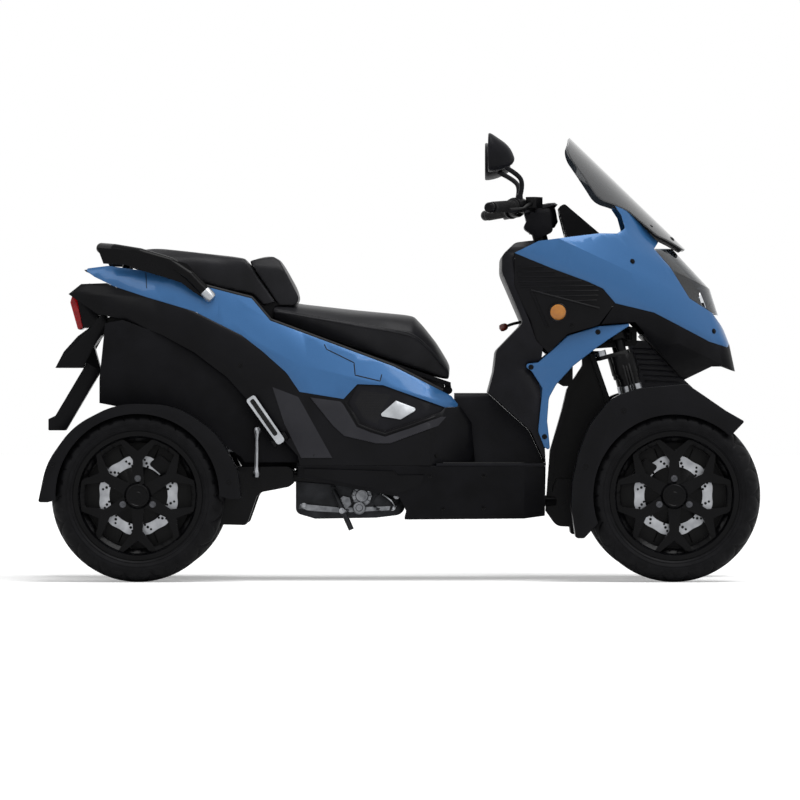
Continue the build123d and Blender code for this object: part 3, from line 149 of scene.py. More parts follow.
def cut_depth(turn, across):
    """How deep the mould cuts the tread at a step round the tyre and a row across it."""
    if 3 <= across <= 11 and (turn + across) % steps < 2 and turn // steps % 2 == 0:
        return 0.0042
    if 5 <= across <= 12 and (turn - across) % steps < 2 and turn // steps % 2 == 1:
        return 0.0036
    return 0.0


for end, x in ends.items():
    for side, sign in sides.items():
        points = []
        for turn in range(rounds):
            angle = 2 * math.pi * turn / rounds
            for y, r, across in section:
                reach = r - cut_depth(turn, across)
                points.append((
                    x + reach * math.cos(angle), sign * wheel_y + y, axle_z + reach * math.sin(angle)))
        faces = []
        for a in range(rounds):
            b = (a + 1) % rounds
            for j in range(row):
                k = (j + 1) % row
                faces.append((a * row + j, a * row + k, b * row + k, b * row + j))
        made = piece(f"tread_{end}_{side}", (points, faces), rubber, f"wheel_{end}_{side}")
        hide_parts(f"tyre_{end}_{side}")


# Wheels. Cast aluminium with forked spokes in satin black paint, a raised cap over the axle nut, and three
# flanged bolts on the spokes round it.
def clothe(material, *names):
    """Gives CAD nodes a material."""
    for name in names:
        solid[name].data.materials.clear()
        solid[name].data.materials.append(material)


def soften(width, *names):
    """Welds CAD nodes' triangles and rounds their edges, with modifiers alone."""
    for name in names:
        made = solid[name]
        made.data.polygons.foreach_set("use_smooth", [True] * len(made.data.polygons))
        made.modifiers.new("weld", "WELD").merge_threshold = 0.00002
        flat = made.modifiers.new("flat faces", "DECIMATE")
        flat.decimate_type, flat.angle_limit = "DISSOLVE", math.radians(0.6)
        edge = made.modifiers.new("edges", "BEVEL")
        edge.width, edge.segments, edge.limit_method = width, 2, "ANGLE"
        edge.angle_limit, edge.harden_normals = math.radians(24), True


def turned(profile, origin, axis, count=40):
    """A lathe form of (along, radius) pairs round an axis; a radius of 0 closes an end."""
    axis = Vector(axis).normalized()
    first = axis.orthogonal().normalized()
    second, n = axis.cross(first), len(profile)
    points, faces = [], []
    for k in range(count):
        angle = 2 * math.pi * k / count
        out = first * math.cos(angle) + second * math.sin(angle)
        points += [Vector(origin) + axis * s + out * r for s, r in profile]
        after = (k + 1) % count
        faces += [(k * n + j, k * n + j + 1, after * n + j + 1, after * n + j) for j in range(n - 1)]
    return points, faces


def joined(*shapes):
    """Several shapes as one list of points and faces."""
    points, faces = [], []
    for some, others in shapes:
        faces += [tuple(i + len(points) for i in face) for face in others]
        points += list(some)
    return points, faces


heads = bpy.data.node_groups.new("flanged heads", "GeometryNodeTree")
for label, kind in (("Geometry", "Geometry"), ("Radius", "Float"), ("Height", "Float"), ("Sides", "Int"),
                    ("Material", "Material")):
    heads.interface.new_socket(label, in_out="INPUT", socket_type=f"NodeSocket{kind}")
heads.interface.new_socket("Geometry", in_out="OUTPUT", socket_type="NodeSocketGeometry")
given = put(heads, "NodeGroupInput").outputs
rise = put(heads, "ShaderNodeMath", {0: given["Height"], 1: 0.8}, operation="MULTIPLY").outputs[0]
waist = put(heads, "ShaderNodeMath", {0: given["Radius"], 1: 0.74}, operation="MULTIPLY").outputs[0]
tip = put(heads, "ShaderNodeMath", {0: given["Radius"], 1: 0.62}, operation="MULTIPLY").outputs[0]
flange = put(heads, "GeometryNodeMeshCylinder", {"Vertices": 24, "Radius": given["Radius"], "Depth": rise})
head = put(heads, "GeometryNodeMeshCone", {
    "Vertices": given["Sides"], "Radius Top": tip, "Radius Bottom": waist, "Depth": given["Height"]})
both = put(heads, "GeometryNodeJoinGeometry")
heads.links.new(flange.outputs["Mesh"], both.inputs[0])
heads.links.new(head.outputs["Mesh"], both.inputs[0])


def lay(group, given, shape):
    """Ends a node group: the shape stands at each point, turned to its facing, in the given material."""
    facing = put(group, "GeometryNodeInputNamedAttribute", {"Name": "facing"}, data_type="FLOAT_VECTOR")
    aim = put(group, "FunctionNodeAlignRotationToVector", {"Vector": facing.outputs["Attribute"]}, axis="Z")
    laid = put(group, "GeometryNodeInstanceOnPoints", {
        "Points": given["Geometry"], "Instance": shape, "Rotation": aim.outputs["Rotation"]})
    real = put(group, "GeometryNodeRealizeInstances", {"Geometry": laid.outputs["Instances"]})
    dressed = put(group, "GeometryNodeSetMaterial", {
        "Geometry": real.outputs[0], "Material": given["Material"]})
    put(group, "NodeGroupOutput", {"Geometry": dressed.outputs[0]})


lay(heads, given, both.outputs[0])


def set_out(name, group, places, body, slot, **sizes):
    """Lays a node group's piece at each (point, facing), and leaves one plain mesh."""
    mesh = bpy.data.meshes.new(name)
    mesh.from_pydata([tuple(p) for p, _ in places], [], [])
    facing = mesh.attributes.new("facing", "FLOAT_VECTOR", "POINT")
    for item, (_, way) in zip(facing.data, places):
        item.vector = Vector(way)
    made = bpy.data.objects.new(name, mesh)
    bpy.context.scene.collection.objects.link(made)
    laying = made.modifiers.new("set out", "NODES")
    laying.node_group = group
    for item in group.interface.items_tree:
        if item.in_out == "INPUT" and item.name in sizes:
            laying[item.identifier] = sizes[item.name]
    graph = bpy.context.evaluated_depsgraph_get()
    plain = bpy.data.meshes.new_from_object(made.evaluated_get(graph), depsgraph=graph)
    made.modifiers.remove(laying)
    made.data = plain
    plain.polygons.foreach_set("use_smooth", [True] * len(plain.polygons))
    plain.set_sharp_from_angle(angle=math.radians(38))
    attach(made, body)
    return made


# The peel of the paint is drawn at 4 mm waves.
cast_black = toned(
    "satin black painted cast aluminium", 9.0, "050506", "09090B", 260.0, 0.0004,
    Roughness=0.26, Specular_IOR_Level=0.1)
bolt_zinc = toned(
    "black zinc plated steel", 60.0, "3C3D40", "5A5B5F", 900.0, 0.0002, Metallic=1.0, Roughness=0.32)

bolt_circle, spoke_face, cap_face = 0.051, 0.034, 0.044
cap = [
    (0.0, 0.0), (0.0, 0.0335), (0.0024, 0.0335), (0.0036, 0.0315), (0.0036, 0.0295), (0.0018, 0.0275),
    (0.0018, 0.012), (0.0030, 0.0105), (0.0030, 0.0),
]
for end, x in ends.items():
    for side, sign in sides.items():
        body, outward = f"wheel_{end}_{side}", Vector((0, sign, 0))
        clothe(cast_black, f"rim_{end}_{side}")
        soften(0.0014, f"rim_{end}_{side}")
        hub = Vector((x, sign * (wheel_y + cap_face - 0.0004), axle_z))
        piece(f"axle_cap_{end}_{side}", turned(cap, hub, outward), cast_black, body)
        places = []
        for degrees in (90, 210, 330):
            a = math.radians(degrees if sign < 0 else degrees + 30)
            across, up = bolt_circle * math.cos(a), bolt_circle * math.sin(a)
            places.append(((x + across, sign * (wheel_y + spoke_face), axle_z + up), outward))
        set_out(f"spoke_bolts_{end}_{side}", heads, places, body, "steel",
                Radius=0.0095, Height=0.008, Sides=6, Material=bolt_zinc)


# Brake discs. Ground stainless steel with a wavy edge, drilled in slanted rows of three so that water and
# dust leave the pads. They bolt to the wheel's inner flange.
def plate(name, loops, low, high):
    """A flat sheet from low to high, inside closed loops of (u, v): its edge first, then its holes."""
    curve = bpy.data.curves.new(name, "CURVE")
    curve.dimensions, curve.fill_mode, curve.extrude = "2D", "BOTH", (high - low) / 2
    for loop in loops:
        run = curve.splines.new("POLY")
        run.points.add(len(loop) - 1)
        run.use_cyclic_u = True
        for point, (u, v) in zip(run.points, loop):
            point.co = (u, v, 0, 1)
    holder = bpy.data.objects.new(name, curve)
    bpy.context.scene.collection.objects.link(holder)
    graph = bpy.context.evaluated_depsgraph_get()
    mesh = bpy.data.meshes.new_from_object(holder.evaluated_get(graph), depsgraph=graph)
    middle = Vector((0, 0, (low + high) / 2))
    bpy.data.objects.remove(holder)
    return [v.co + middle for v in mesh.vertices], [tuple(p.vertices) for p in mesh.polygons]


def circle(u, v, radius, count=16):
    """A closed loop round a point."""
    turns = [2 * math.pi * k / count for k in range(count)]
    return [(u + radius * math.cos(a), v + radius * math.sin(a)) for a in turns]


ground_steel = toned(
    "ground stainless steel", 25.0, "8E9094", "B6B8BC", 1400.0, 0.0001, Metallic=1.0, Roughness=0.3)
disc_out, disc_in, lobes, disc_y, disc_thick = 0.1185, 0.080, 12, -0.027, 0.005
edge = []
for k in range(240):
    a = 2 * math.pi * k / 240
    edge.append((a, disc_out - 0.0042 * (1 + math.cos(lobes * a)) / 2))
loops = [[(r * math.cos(a), r * math.sin(a)) for a, r in edge], circle(0, 0, disc_in, 96)]
for k in range(lobes):
    for row_at, radius, lean in ((0.089, 0.0036, -0.05), (0.0975, 0.0042, 0.02), (0.1065, 0.0036, 0.09)):
        a = 2 * math.pi * (k + 0.5) / lobes + lean
        loops.append(circle(row_at * math.cos(a), row_at * math.sin(a), radius))
points, faces = plate("disc", loops, disc_y - disc_thick, disc_y)
for end, x in ends.items():
    for side, sign in sides.items():
        placed = [(x + u, sign * (wheel_y + w), axle_z + v) for u, v, w in points]
        made = piece(f"wave_disc_{end}_{side}", (placed, faces), ground_steel, f"wheel_{end}_{side}")
        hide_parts(f"brake_disc_{end}_{side}")


# Dust shields. Pressed steel plates in black paint behind the discs, with a rolled rim and eight ribs,
# bolted to the hub carriers, so that those at the front turn with the uprights. Their near-black also
# serves as painted shade that fills the insides of the wheels.
def wrapped(rows, count):
    """Faces between closed rings of points that follow one another."""
    faces = []
    for j in range(rows - 1):
        for k in range(count):
            after = (k + 1) % count
            faces.append((j * count + k, j * count + after, (j + 1) * count + after, (j + 1) * count + k))
    return faces


def tube(path, radius, ring=10):
    """A closed round bar along a path of points."""
    path = [Vector(p) for p in path]
    points, side = [], None
    for i, at in enumerate(path):
        ahead = (path[min(i + 1, len(path) - 1)] - path[max(i - 1, 0)]).normalized()
        side = (ahead.orthogonal() if side is None else side - ahead * side.dot(ahead)).normalized()
        other = ahead.cross(side)
        for k in range(ring):
            a = 2 * math.pi * k / ring
            points.append(at + (side * math.cos(a) + other * math.sin(a)) * radius)
    last = (len(path) - 1) * ring
    return points, wrapped(len(path), ring) + [tuple(range(ring))[::-1], tuple(range(last, last + ring))]


# The plates' near-black is partly their paint and partly painted shade for the dark insides of the wheels.
shade_plate_black = toned(
    "black pressed steel as painted wheel shade", 20.0, "060607", "0B0B0D", 400.0, 0.0003,
    Roughness=0.4, Specular_IOR_Level=0.15)
shield_out, shield_in, shield_y = 0.157, 0.019, -0.0385
sheet_loops = [circle(0, 0, shield_out, 96), circle(0, 0, shield_in, 32)]
points, faces = plate("shield", sheet_loops, shield_y - 0.0015, shield_y)
rolled = [(shield_y - 0.004, shield_out), (shield_y + 0.003, shield_out),
          (shield_y + 0.003, shield_out - 0.002), (shield_y - 0.004, shield_out - 0.002)]
for end, x in ends.items():
    for side, sign in sides.items():
        hub = Vector((x, sign * wheel_y, axle_z))
        sheet = [hub + Vector((u, sign * w, v)) for u, v, w in points], faces
        ribs = [sheet, turned(rolled + rolled[:1], hub, (0, sign, 0), 96)]
        for k in range(8):
            a = math.radians(45 * k + 22)
            out = Vector((math.cos(a), 0, math.sin(a)))
            run = [hub + out * r + Vector((0, sign * (shield_y - 0.0004), 0)) for r in (0.060, 0.150)]
            ribs.append(tube(run, 0.0022, 8))
        body = f"knuckle_{side}" if end == "front" else "chassis"
        piece(f"dust_shield_{end}_{side}", joined(*ribs), shade_plate_black, body)


# Uprights, arms and frame. Steel and aluminium under black enamel; each strut has a plated sleeve, three
# clamp bands, and three rubber brake lines held along its outer side by the bands.
def eased(points, count=8):
    """A smooth run of points through given ones."""
    given = [Vector(p) for p in points]
    run = []
    for i in range(len(given) - 1):
        a, b = given[max(i - 1, 0)], given[i]
        c, d = given[i + 1], given[min(i + 2, len(given) - 1)]
        for k in range(count):
            t = k / count
            run.append(0.5 * (2 * b + (c - a) * t + (2 * a - 5 * b + 4 * c - d) * t ** 2
                              + (3 * b - a - 3 * c + d) * t ** 3))
    return run + [given[-1]]


enamel = toned(
    "black enamel on steel", 12.0, "070708", "0D0D0F", 300.0, 0.0004, Roughness=0.3, Specular_IOR_Level=0.1)
dark_alloy = toned(
    "dark cast aluminium", 30.0, "1A1B1D", "2B2C2F", 650.0, 0.0007,
    Metallic=0.7, Roughness=0.42, Specular_IOR_Level=0.3)
bright_steel = toned(
    "zinc plated steel", 40.0, "8A8C90", "A9ABAF", 800.0, 0.0002, Metallic=1.0, Roughness=0.28)
hose = toned(
    "extruded rubber hose", 70.0, "0E0E0F", "1C1C1D", 1100.0, 0.0003, Roughness=0.5, Specular_IOR_Level=0.2)
clothe(enamel, "frame", "tilt_arms", "upright_left", "upright_right", "rear_brackets", "swing_arms")
clothe(dark_alloy, "engine")
clothe(bright_steel, "track_rod_left", "track_rod_right", "silencer")
soften(0.002, "tilt_arms", "upright_left", "upright_right", "rear_brackets", "swing_arms", "engine")
rake, strut = math.radians(15), 0.029
lean = Vector((-math.sin(rake), 0, math.cos(rake)))
line_route = (  # along the strut, then out from its axis
    (0.060, 0.020), (0.100, 0.034), (0.132, 0.0365), (0.275, 0.0365), (0.369, 0.0365), (0.405, 0.030))
for side, sign in sides.items():
    knuckle, root = f"knuckle_{side}", pivot[f"kingpin_{side}"]
    outward, along = Vector((0, sign, 0)), lean.cross(Vector((0, 1, 0)))
    sleeve = [(0.150, strut - 0.001), (0.152, strut + 0.0016),
              (0.338, strut + 0.0016), (0.340, strut - 0.001)]
    piece(f"strut_sleeve_{side}", turned(sleeve + sleeve[:1], root, lean), bright_steel, knuckle)
    bands, lines = [], []
    for s in (0.125, 0.268, 0.362):
        ring = [(s, strut), (s, strut + 0.0042), (s + 0.014, strut + 0.0042), (s + 0.014, strut)]
        bands.append(turned(ring + ring[:1], root, lean))
    for k in (-1, 0, 1):
        path = [root + lean * s + outward * gap + along * k * 0.0085 for s, gap in line_route]
        lines.append(tube(eased(path), 0.0031))
    piece(f"strut_bands_{side}", joined(*bands), enamel, knuckle)
    piece(f"brake_lines_{side}", joined(*lines), hose, knuckle)


# Mudguards, belly pan, floor and engine. Moulded polypropylene with a fine spark-eroded grain, screwed to
# stays on the uprights and rear arms. The foot boards carry raised rubber strips; the cast engine cases show
# below them with a pump cover, plugs and a pipe.
def meet(node, x, z, sign, lift=0.0):
    """Where a level line from one side first meets a CAD node, and the way that the surface faces there."""
    if node not in trees:
        made = solid[node]
        made.data.calc_loop_triangles()
        corners = [made.matrix_world @ v.co for v in made.data.vertices]
        trees[node] = BVHTree.FromPolygons(corners, [t.vertices[:] for t in made.data.loop_triangles])
    at, way, _, _ = trees[node].ray_cast(Vector((x, sign, z)), Vector((0, -sign, 0)))
    if at is None:
        raise ValueError(f"{node}: nothing at {x:.3f}, {z:.3f}")
    way = way if way.y * sign > 0 else -way
    return at + way * lift, way


def panel_on(node, loop, sign, lift, step=0.018):
    """A thin raised panel inside a loop of (x, z), pressed onto the side of a CAD node."""
    bm = bmesh.new()
    field = bm.faces.new([bm.verts.new((x, 0, z)) for x, z in loop])
    bmesh.ops.triangulate(bm, faces=[field])
    for _ in range(5):
        long = [e for e in bm.edges if e.calc_length() > step]
        bmesh.ops.subdivide_edges(bm, edges=long, cuts=1)
        bmesh.ops.triangulate(bm, faces=bm.faces)
    bm.verts.index_update()
    spots, n = [(v.co.x, v.co.z) for v in bm.verts], len(bm.verts)
    points = [meet(node, x, z, sign, level)[0] for level in (lift, -0.002) for x, z in spots]
    faces = [tuple(v.index for v in f.verts) for f in bm.faces]
    faces += [tuple(i + n for i in reversed(face)) for face in faces]
    for edge in bm.edges:
        if len(edge.link_faces) == 1:
            a, b = (v.index for v in edge.verts)
            faces.append((a, b, b + n, a + n))
    bm.free()
    return points, faces


def traced(loop):
    """Points read from the photo, as (x, z) in metres; its front axle and ground line give the place."""
    return [(front_x + (u - photo_axle) * photo_scale, (photo_ground - v) * photo_scale) for u, v in loop]


def slab(name, loop, half, middle=0.0):
    """A plate in side view, inside a loop of (x, z), that reaches a half width to each side of a y."""
    points, faces = plate(name, [loop], middle - half, middle + half)
    return [(x, y, z) for x, z, y in points], faces


trees = {}
photo_axle, photo_ground, photo_scale = 673.8, 582, 0.00295
grained = toned(
    "grained black polypropylene", 14.0, "0C0C0E", "131316", 700.0, 0.0005,
    Roughness=0.42, Specular_IOR_Level=0.07)
satin = toned(
    "satin black moulded ABS", 8.0, "0B0B0D", "121215", 180.0, 0.0003,
    Roughness=0.28, Specular_IOR_Level=0.09)
dark_grey = toned(
    "dark grey moulded polypropylene", 14.0, "121215", "1A1A1E", 700.0, 0.0005,
    Roughness=0.4, Specular_IOR_Level=0.09)
clothe(satin, "front_mudguard_left", "front_mudguard_right", "rear_mudguards")
clothe(grained, "belly_pan", "inner_fender", "seat_tub", "seat_pan", "nose_cowl", "dash", "screen_garnish")
clothe(dark_grey, "floor", "leg_shield")
soften(0.0022, "front_mudguard_left", "front_mudguard_right", "rear_mudguards")
soften(0.003, "leg_shield")
soften(0.0018, "belly_pan", "inner_fender", "dash", "nose_cowl", "screen_garnish")
mat = toned(
    "moulded mat rubber", 50.0, "0B0B0C", "171718", 900.0, 0.0004, Roughness=0.6, Specular_IOR_Level=0.18)
floor_top, strips = 0.3495, []
for sign in (1, -1):
    for k in range(6):
        y = sign * (0.136 + 0.0145 * k)
        run = [(rear_x + 0.900, y, floor_top), (front_x - 0.432 - 0.004 * k, y * 0.985, floor_top)]
        strips.append(tube(run, 0.0032))
piece("floor_strips", joined(*strips), mat, "chassis")
for side, sign in sides.items():
    places = []
    for x, z in ((front_x - 0.150, 0.505), (front_x - 0.262, 0.340)):
        places.append(meet(f"front_mudguard_{side}", x, z, sign))
    set_out(f"guard_screws_{side}", heads, places, f"knuckle_{side}", "black_metal",
            Radius=0.0075, Height=0.0032, Sides=20, Material=enamel)
places = [meet("rear_mudguards", rear_x + x, z, s) for s in (1, -1) for x, z in (
    (0.270, 0.295), (-0.250, 0.345))]
places += [meet("belly_pan", x, z, s) for s in (1, -1) for x, z in (
    (rear_x + 0.86, 0.310), (front_x - 0.56, 0.310), (front_x - 0.56, 0.215), (rear_x + 0.90, 0.212))]
set_out("under_screws", heads, places, "chassis", "black_metal",
        Radius=0.0070, Height=0.0030, Sides=20, Material=enamel)
places = []
for sign in (1, -1):
    places += [meet("engine", rear_x + x, z, sign) for x, z in (
        (0.486, 0.222), (0.600, 0.208), (0.750, 0.216), (0.762, 0.250), (0.690, 0.288), (0.560, 0.316))]
set_out("engine_bolts", heads, places, "chassis", "steel",
        Radius=0.0085, Height=0.007, Sides=6, Material=bright_steel)
cast_alloy = toned(
    "bare cast aluminium", 45.0, "5A5C60", "8C8E92", 800.0, 0.0005, Metallic=0.9, Roughness=0.4)
pump = [(-0.004, 0.0), (-0.004, 0.031), (0.007, 0.031), (0.010, 0.028), (0.010, 0.020), (0.016, 0.017),
        (0.016, 0.0)]
plug = [(-0.004, 0.0), (-0.004, 0.020), (0.012, 0.020), (0.015, 0.017), (0.015, 0.011), (0.012, 0.009),
        (0.012, 0.0)]
sump = ((0.470, 0.212), (0.520, 0.206), (0.600, 0.202), (0.760, 0.210), (0.764, 0.222), (0.600, 0.216),
        (0.474, 0.228))
pipe_run = ((0.672, 0.262, 0.006), (0.690, 0.268, 0.012), (0.712, 0.262, 0.010), (0.745, 0.240, 0.008),
            (0.758, 0.220, 0.004))
dress, pipes = [], []
for sign in (1, -1):
    way = (0, sign, 0)
    dress.append(panel_on("engine", [(rear_x + x, z) for x, z in sump], sign, 0.004))
    hub = meet("engine", rear_x + 0.659, 0.252, sign)[0]
    dress.append(turned(pump, hub, way, 36))
    for k in range(10):
        a = math.radians(36 * k)
        out = Vector((math.cos(a), 0, math.sin(a)))
        dress.append(tube([hub + out * r + Vector((0, sign * 0.009, 0)) for r in (0.016, 0.030)], 0.0028, 8))
    dress.append(turned(plug, meet("engine", rear_x + 0.651, 0.216, sign)[0], way, 30))
    dress.append(turned(plug[:3] + [(0.012, 0.0)], meet("engine", rear_x + 0.608, 0.232, sign)[0], way, 6))
    pipe = [meet("engine", rear_x + x, z, sign, lift)[0] for x, z, lift in pipe_run]
    pipes.append(tube(eased(pipe), 0.0042))
piece("engine_dress", joined(*dress), cast_alloy, "chassis")
piece("engine_pipes", joined(*pipes), bright_steel, "chassis")
sill = ((304, 468.5), (394, 471), (397, 475), (424, 475), (420, 486), (398, 493), (360, 486), (304, 474))
sills = [panel_on("belly_pan", traced(sill), sign, 0.0035) for sign in (1, -1)]
piece("sill_panels", joined(*sills), satin, "chassis")
splash = [(rear_x + x, z) for x, z in (
    (0.262, 0.395), (0.300, 0.338), (0.480, 0.330), (0.480, 0.420), (0.300, 0.430))]
piece("splash_plate", slab("splash", splash, 0.0015), grained, "chassis")

# Nose. Blue metallic paint under clear lacquer on ABS, over black side panels with level fins and a round
# amber reflector in a black bezel. Screws with domed heads fix the trims at the edge of the leg shield.
blue_paint, tree, shader, place = finish_named(
    "blue metallic paint under clear lacquer", Metallic=0.25, Roughness=0.32, Specular_IOR_Level=0.2,
    Coat_Weight=0.3, Coat_Roughness=0.06)
flake = put(tree, "ShaderNodeTexVoronoi", {"Vector": place, "Scale": 1100.0})
cloud = put(tree, "ShaderNodeTexNoise", {"Vector": place, "Scale": 5.0})
two_tone(tree, shader, flake.outputs["Distance"], "2B598A", "38689A")
wave = put(tree, "ShaderNodeBump", {"Height": cloud.outputs["Fac"], "Strength": 0.04, "Distance": 0.004})
tree.links.new(wave.outputs["Normal"], shader.inputs["Normal"])
# The faint orange emission is a painted glow: the reflector gives no light of its own.
amber = toned(
    "amber acrylic with painted glow", 30.0, "A0600A", "BE7A14", 500.0, 0.0008,
    Roughness=0.2, Coat_Weight=0.3, Emission_Strength=0.05, Emission_Color=linear("D07A10"))
clothe(blue_paint, "nose_panel", "side_trims", "tail_panel")
clothe(satin, "fairing_sides")
clothe(amber, "reflectors")
soften(0.0025, "nose_panel", "side_trims", "tail_panel", "fairing_sides")
fins = []
fin_rows = (  # height, then where a fin starts and ends, behind the front axle
    (0.928, 0.464, 0.385), (0.914, 0.463, 0.350), (0.900, 0.461, 0.312), (0.886, 0.458, 0.272),
    (0.872, 0.454, 0.236), (0.858, 0.402, 0.222), (0.844, 0.348, 0.222), (0.830, 0.294, 0.226),
)
beads = ((-0.421, 0.861, -0.219, 0.808), (-0.421, 0.861, -0.372, 0.752))  # round the reflector's field
for sign in (1, -1):
    runs = [(-start, z, -stop, z + 0.002, 0.0026) for z, start, stop in fin_rows]
    runs += [(*bead, 0.0036) for bead in beads]
    for x0, z0, x1, z1, radius in runs:
        path = []
        for t in (k / 12 for k in range(13)):
            x, z = front_x + x0 + (x1 - x0) * t, z0 + (z1 - z0) * t
            path.append(meet("fairing_sides", x, z, sign, 0.0008)[0])
        fins.append(tube(path, radius, 8))
piece("fairing_fins", joined(*fins), satin, "chassis")
bezels = []
for sign in (1, -1):
    at, _ = meet("reflectors", front_x - 0.341, 0.796, sign)
    ring = [(-0.012, 0.0232), (0.001, 0.0232), (0.0022, 0.025), (0.001, 0.0278), (-0.012, 0.0278)]
    bezels.append(turned(ring + ring[:1], at, (0, sign, 0)))
piece("reflector_bezels", joined(*bezels), satin, "chassis")
places = []
for sign in (1, -1):
    places += [meet("side_trims", front_x + x, z, sign) for x, z in (
        (-0.420, 0.634), (-0.222, 0.738), (-0.380, 0.428))]
    places += [meet("nose_panel", front_x + x, z, sign) for x, z in ((-0.120, 0.947), (0.128, 0.742))]
    places += [meet("fairing_sides", front_x - 0.300, 0.755, sign)]
set_out("nose_screws", heads, places, "chassis", "black_metal",
        Radius=0.0078, Height=0.0034, Sides=20, Material=enamel)

# Headlamp. A clear polycarbonate lens over a dark housing that holds two polished reflector bowls, each
# round a projector glass; its screws are hidden behind the nose.
clear, tree, shader, place = finish_named(
    "clear polycarbonate", Roughness=0.03, IOR=1.58, Transmission_Weight=1.0)
haze = put(tree, "ShaderNodeTexNoise", {"Vector": place, "Scale": 6.0})
two_tone(tree, shader, haze.outputs["Fac"], "4A5056", "666D74")
lamp_black = toned(
    "gloss black lamp housing", 20.0, "08080A", "101013", 200.0, 0.0002,
    Roughness=0.14, Specular_IOR_Level=0.25)
chrome = toned(
    "vacuum plated reflector", 15.0, "C9CCD0", "E4E6E9", 90.0, 0.0002, Metallic=1.0, Roughness=0.06)
clothe(clear, "headlamp_lens")
clothe(lamp_black, "headlamp_unit")
bowl = [(-0.030, 0.0), (-0.030, 0.010), (-0.022, 0.020), (-0.006, 0.029), (0.012, 0.0355), (0.030, 0.0405),
        (0.0315, 0.0385), (0.013, 0.0335), (-0.004, 0.027), (-0.019, 0.018), (-0.026, 0.009), (-0.026, 0.0)]
eye_ball = [(-0.028, 0.0), (-0.028, 0.015), (-0.008, 0.017), (0.000, 0.0155), (0.006, 0.011), (0.009, 0.0)]
aim_way = Vector((math.sin(math.radians(68)), 0, math.cos(math.radians(68))))
bowls, globes = [], []
for sign in (1, -1):
    at = Vector((front_x + 0.088, sign * 0.062, 0.838)) - aim_way * 0.026
    bowls.append(turned(bowl, at, aim_way))
    globes.append(turned(eye_ball, at, aim_way))
piece("lamp_bowls", joined(*bowls), chrome, "chassis")
piece("lamp_globes", joined(*globes), clear, "chassis")

# Windscreen and dash. Smoked polycarbonate bent to a shallow curve, held by four screws in rubber wells to
# the black garnish; behind it a hooded display faces the rider.
smoked, tree, shader, place = finish_named(
    "smoked polycarbonate", Roughness=0.05, IOR=1.58, Transmission_Weight=0.75,
    Coat_Weight=0.5, Coat_Roughness=0.03)
haze = put(tree, "ShaderNodeTexNoise", {"Vector": place, "Scale": 4.0})
two_tone(tree, shader, haze.outputs["Fac"], "22262B", "343A41")
clothe(smoked, "windscreen")
foot, top = Vector((front_x + 0.046, 0, 0.988)), Vector((front_x - 0.300, 0, 1.322))
rise = (top - foot).normalized()
ahead = Vector((rise.z, 0, -rise.x))
places = []
screen_half, screen_sag = 0.196, 0.084
for y, s in ((0.060, 0.050), (-0.060, 0.050), (0.112, 0.122), (-0.112, 0.122)):
    sunk = 0.0002 - screen_sag * (y / screen_half) ** 2
    places.append((foot + rise * s + ahead * sunk + Vector((0, y, 0)), ahead))
set_out("screen_screws", heads, places, "chassis", "black_metal",
        Radius=0.0085, Height=0.004, Sides=20, Material=hose)


def rounded(width, height, radius, count=6):
    """A closed loop round a rectangle with round corners, about its middle."""
    loop = []
    for corner, (u, v) in enumerate(((1, 1), (-1, 1), (-1, -1), (1, -1))):
        for k in range(count + 1):
            a = math.radians(90 * corner + 90 * k / count)
            across, up = u * (width / 2 - radius), v * (height / 2 - radius)
            loop.append((across + radius * math.cos(a), up + radius * math.sin(a)))
    return loop


glass, tree, shader, place = finish_named("display glass", Roughness=0.06, Coat_Weight=0.8)
rows_wave = put(
    tree, "ShaderNodeTexWave", {"Vector": place, "Scale": 40.0, "Distortion": 2.0}, bands_direction="Z")
two_tone(tree, shader, rows_wave.outputs["Fac"], "0B0D10", "181D24")
dash_at = Vector((front_x - 0.321, 0, 1.062))
dash_up = Vector((-0.026, 0, 0.100)).normalized()
dash_out = Vector((-dash_up.z, 0, dash_up.x))
bezel_loops = [rounded(0.150, 0.080, 0.018), rounded(0.128, 0.058, 0.011)]
for name, loops, lift, material, slot in (
        ("display_bezel", bezel_loops, 0.003, satin, "black_plastic"),
        ("display", [rounded(0.132, 0.062, 0.012)], 0.0008, glass, "lamp")):
    points, faces = plate(name, loops, -0.004, lift)
    placed = [dash_at + Vector((0, u, 0)) + dash_up * v + dash_out * w for u, v, w in points]
    piece(name, (placed, faces), material, "chassis")

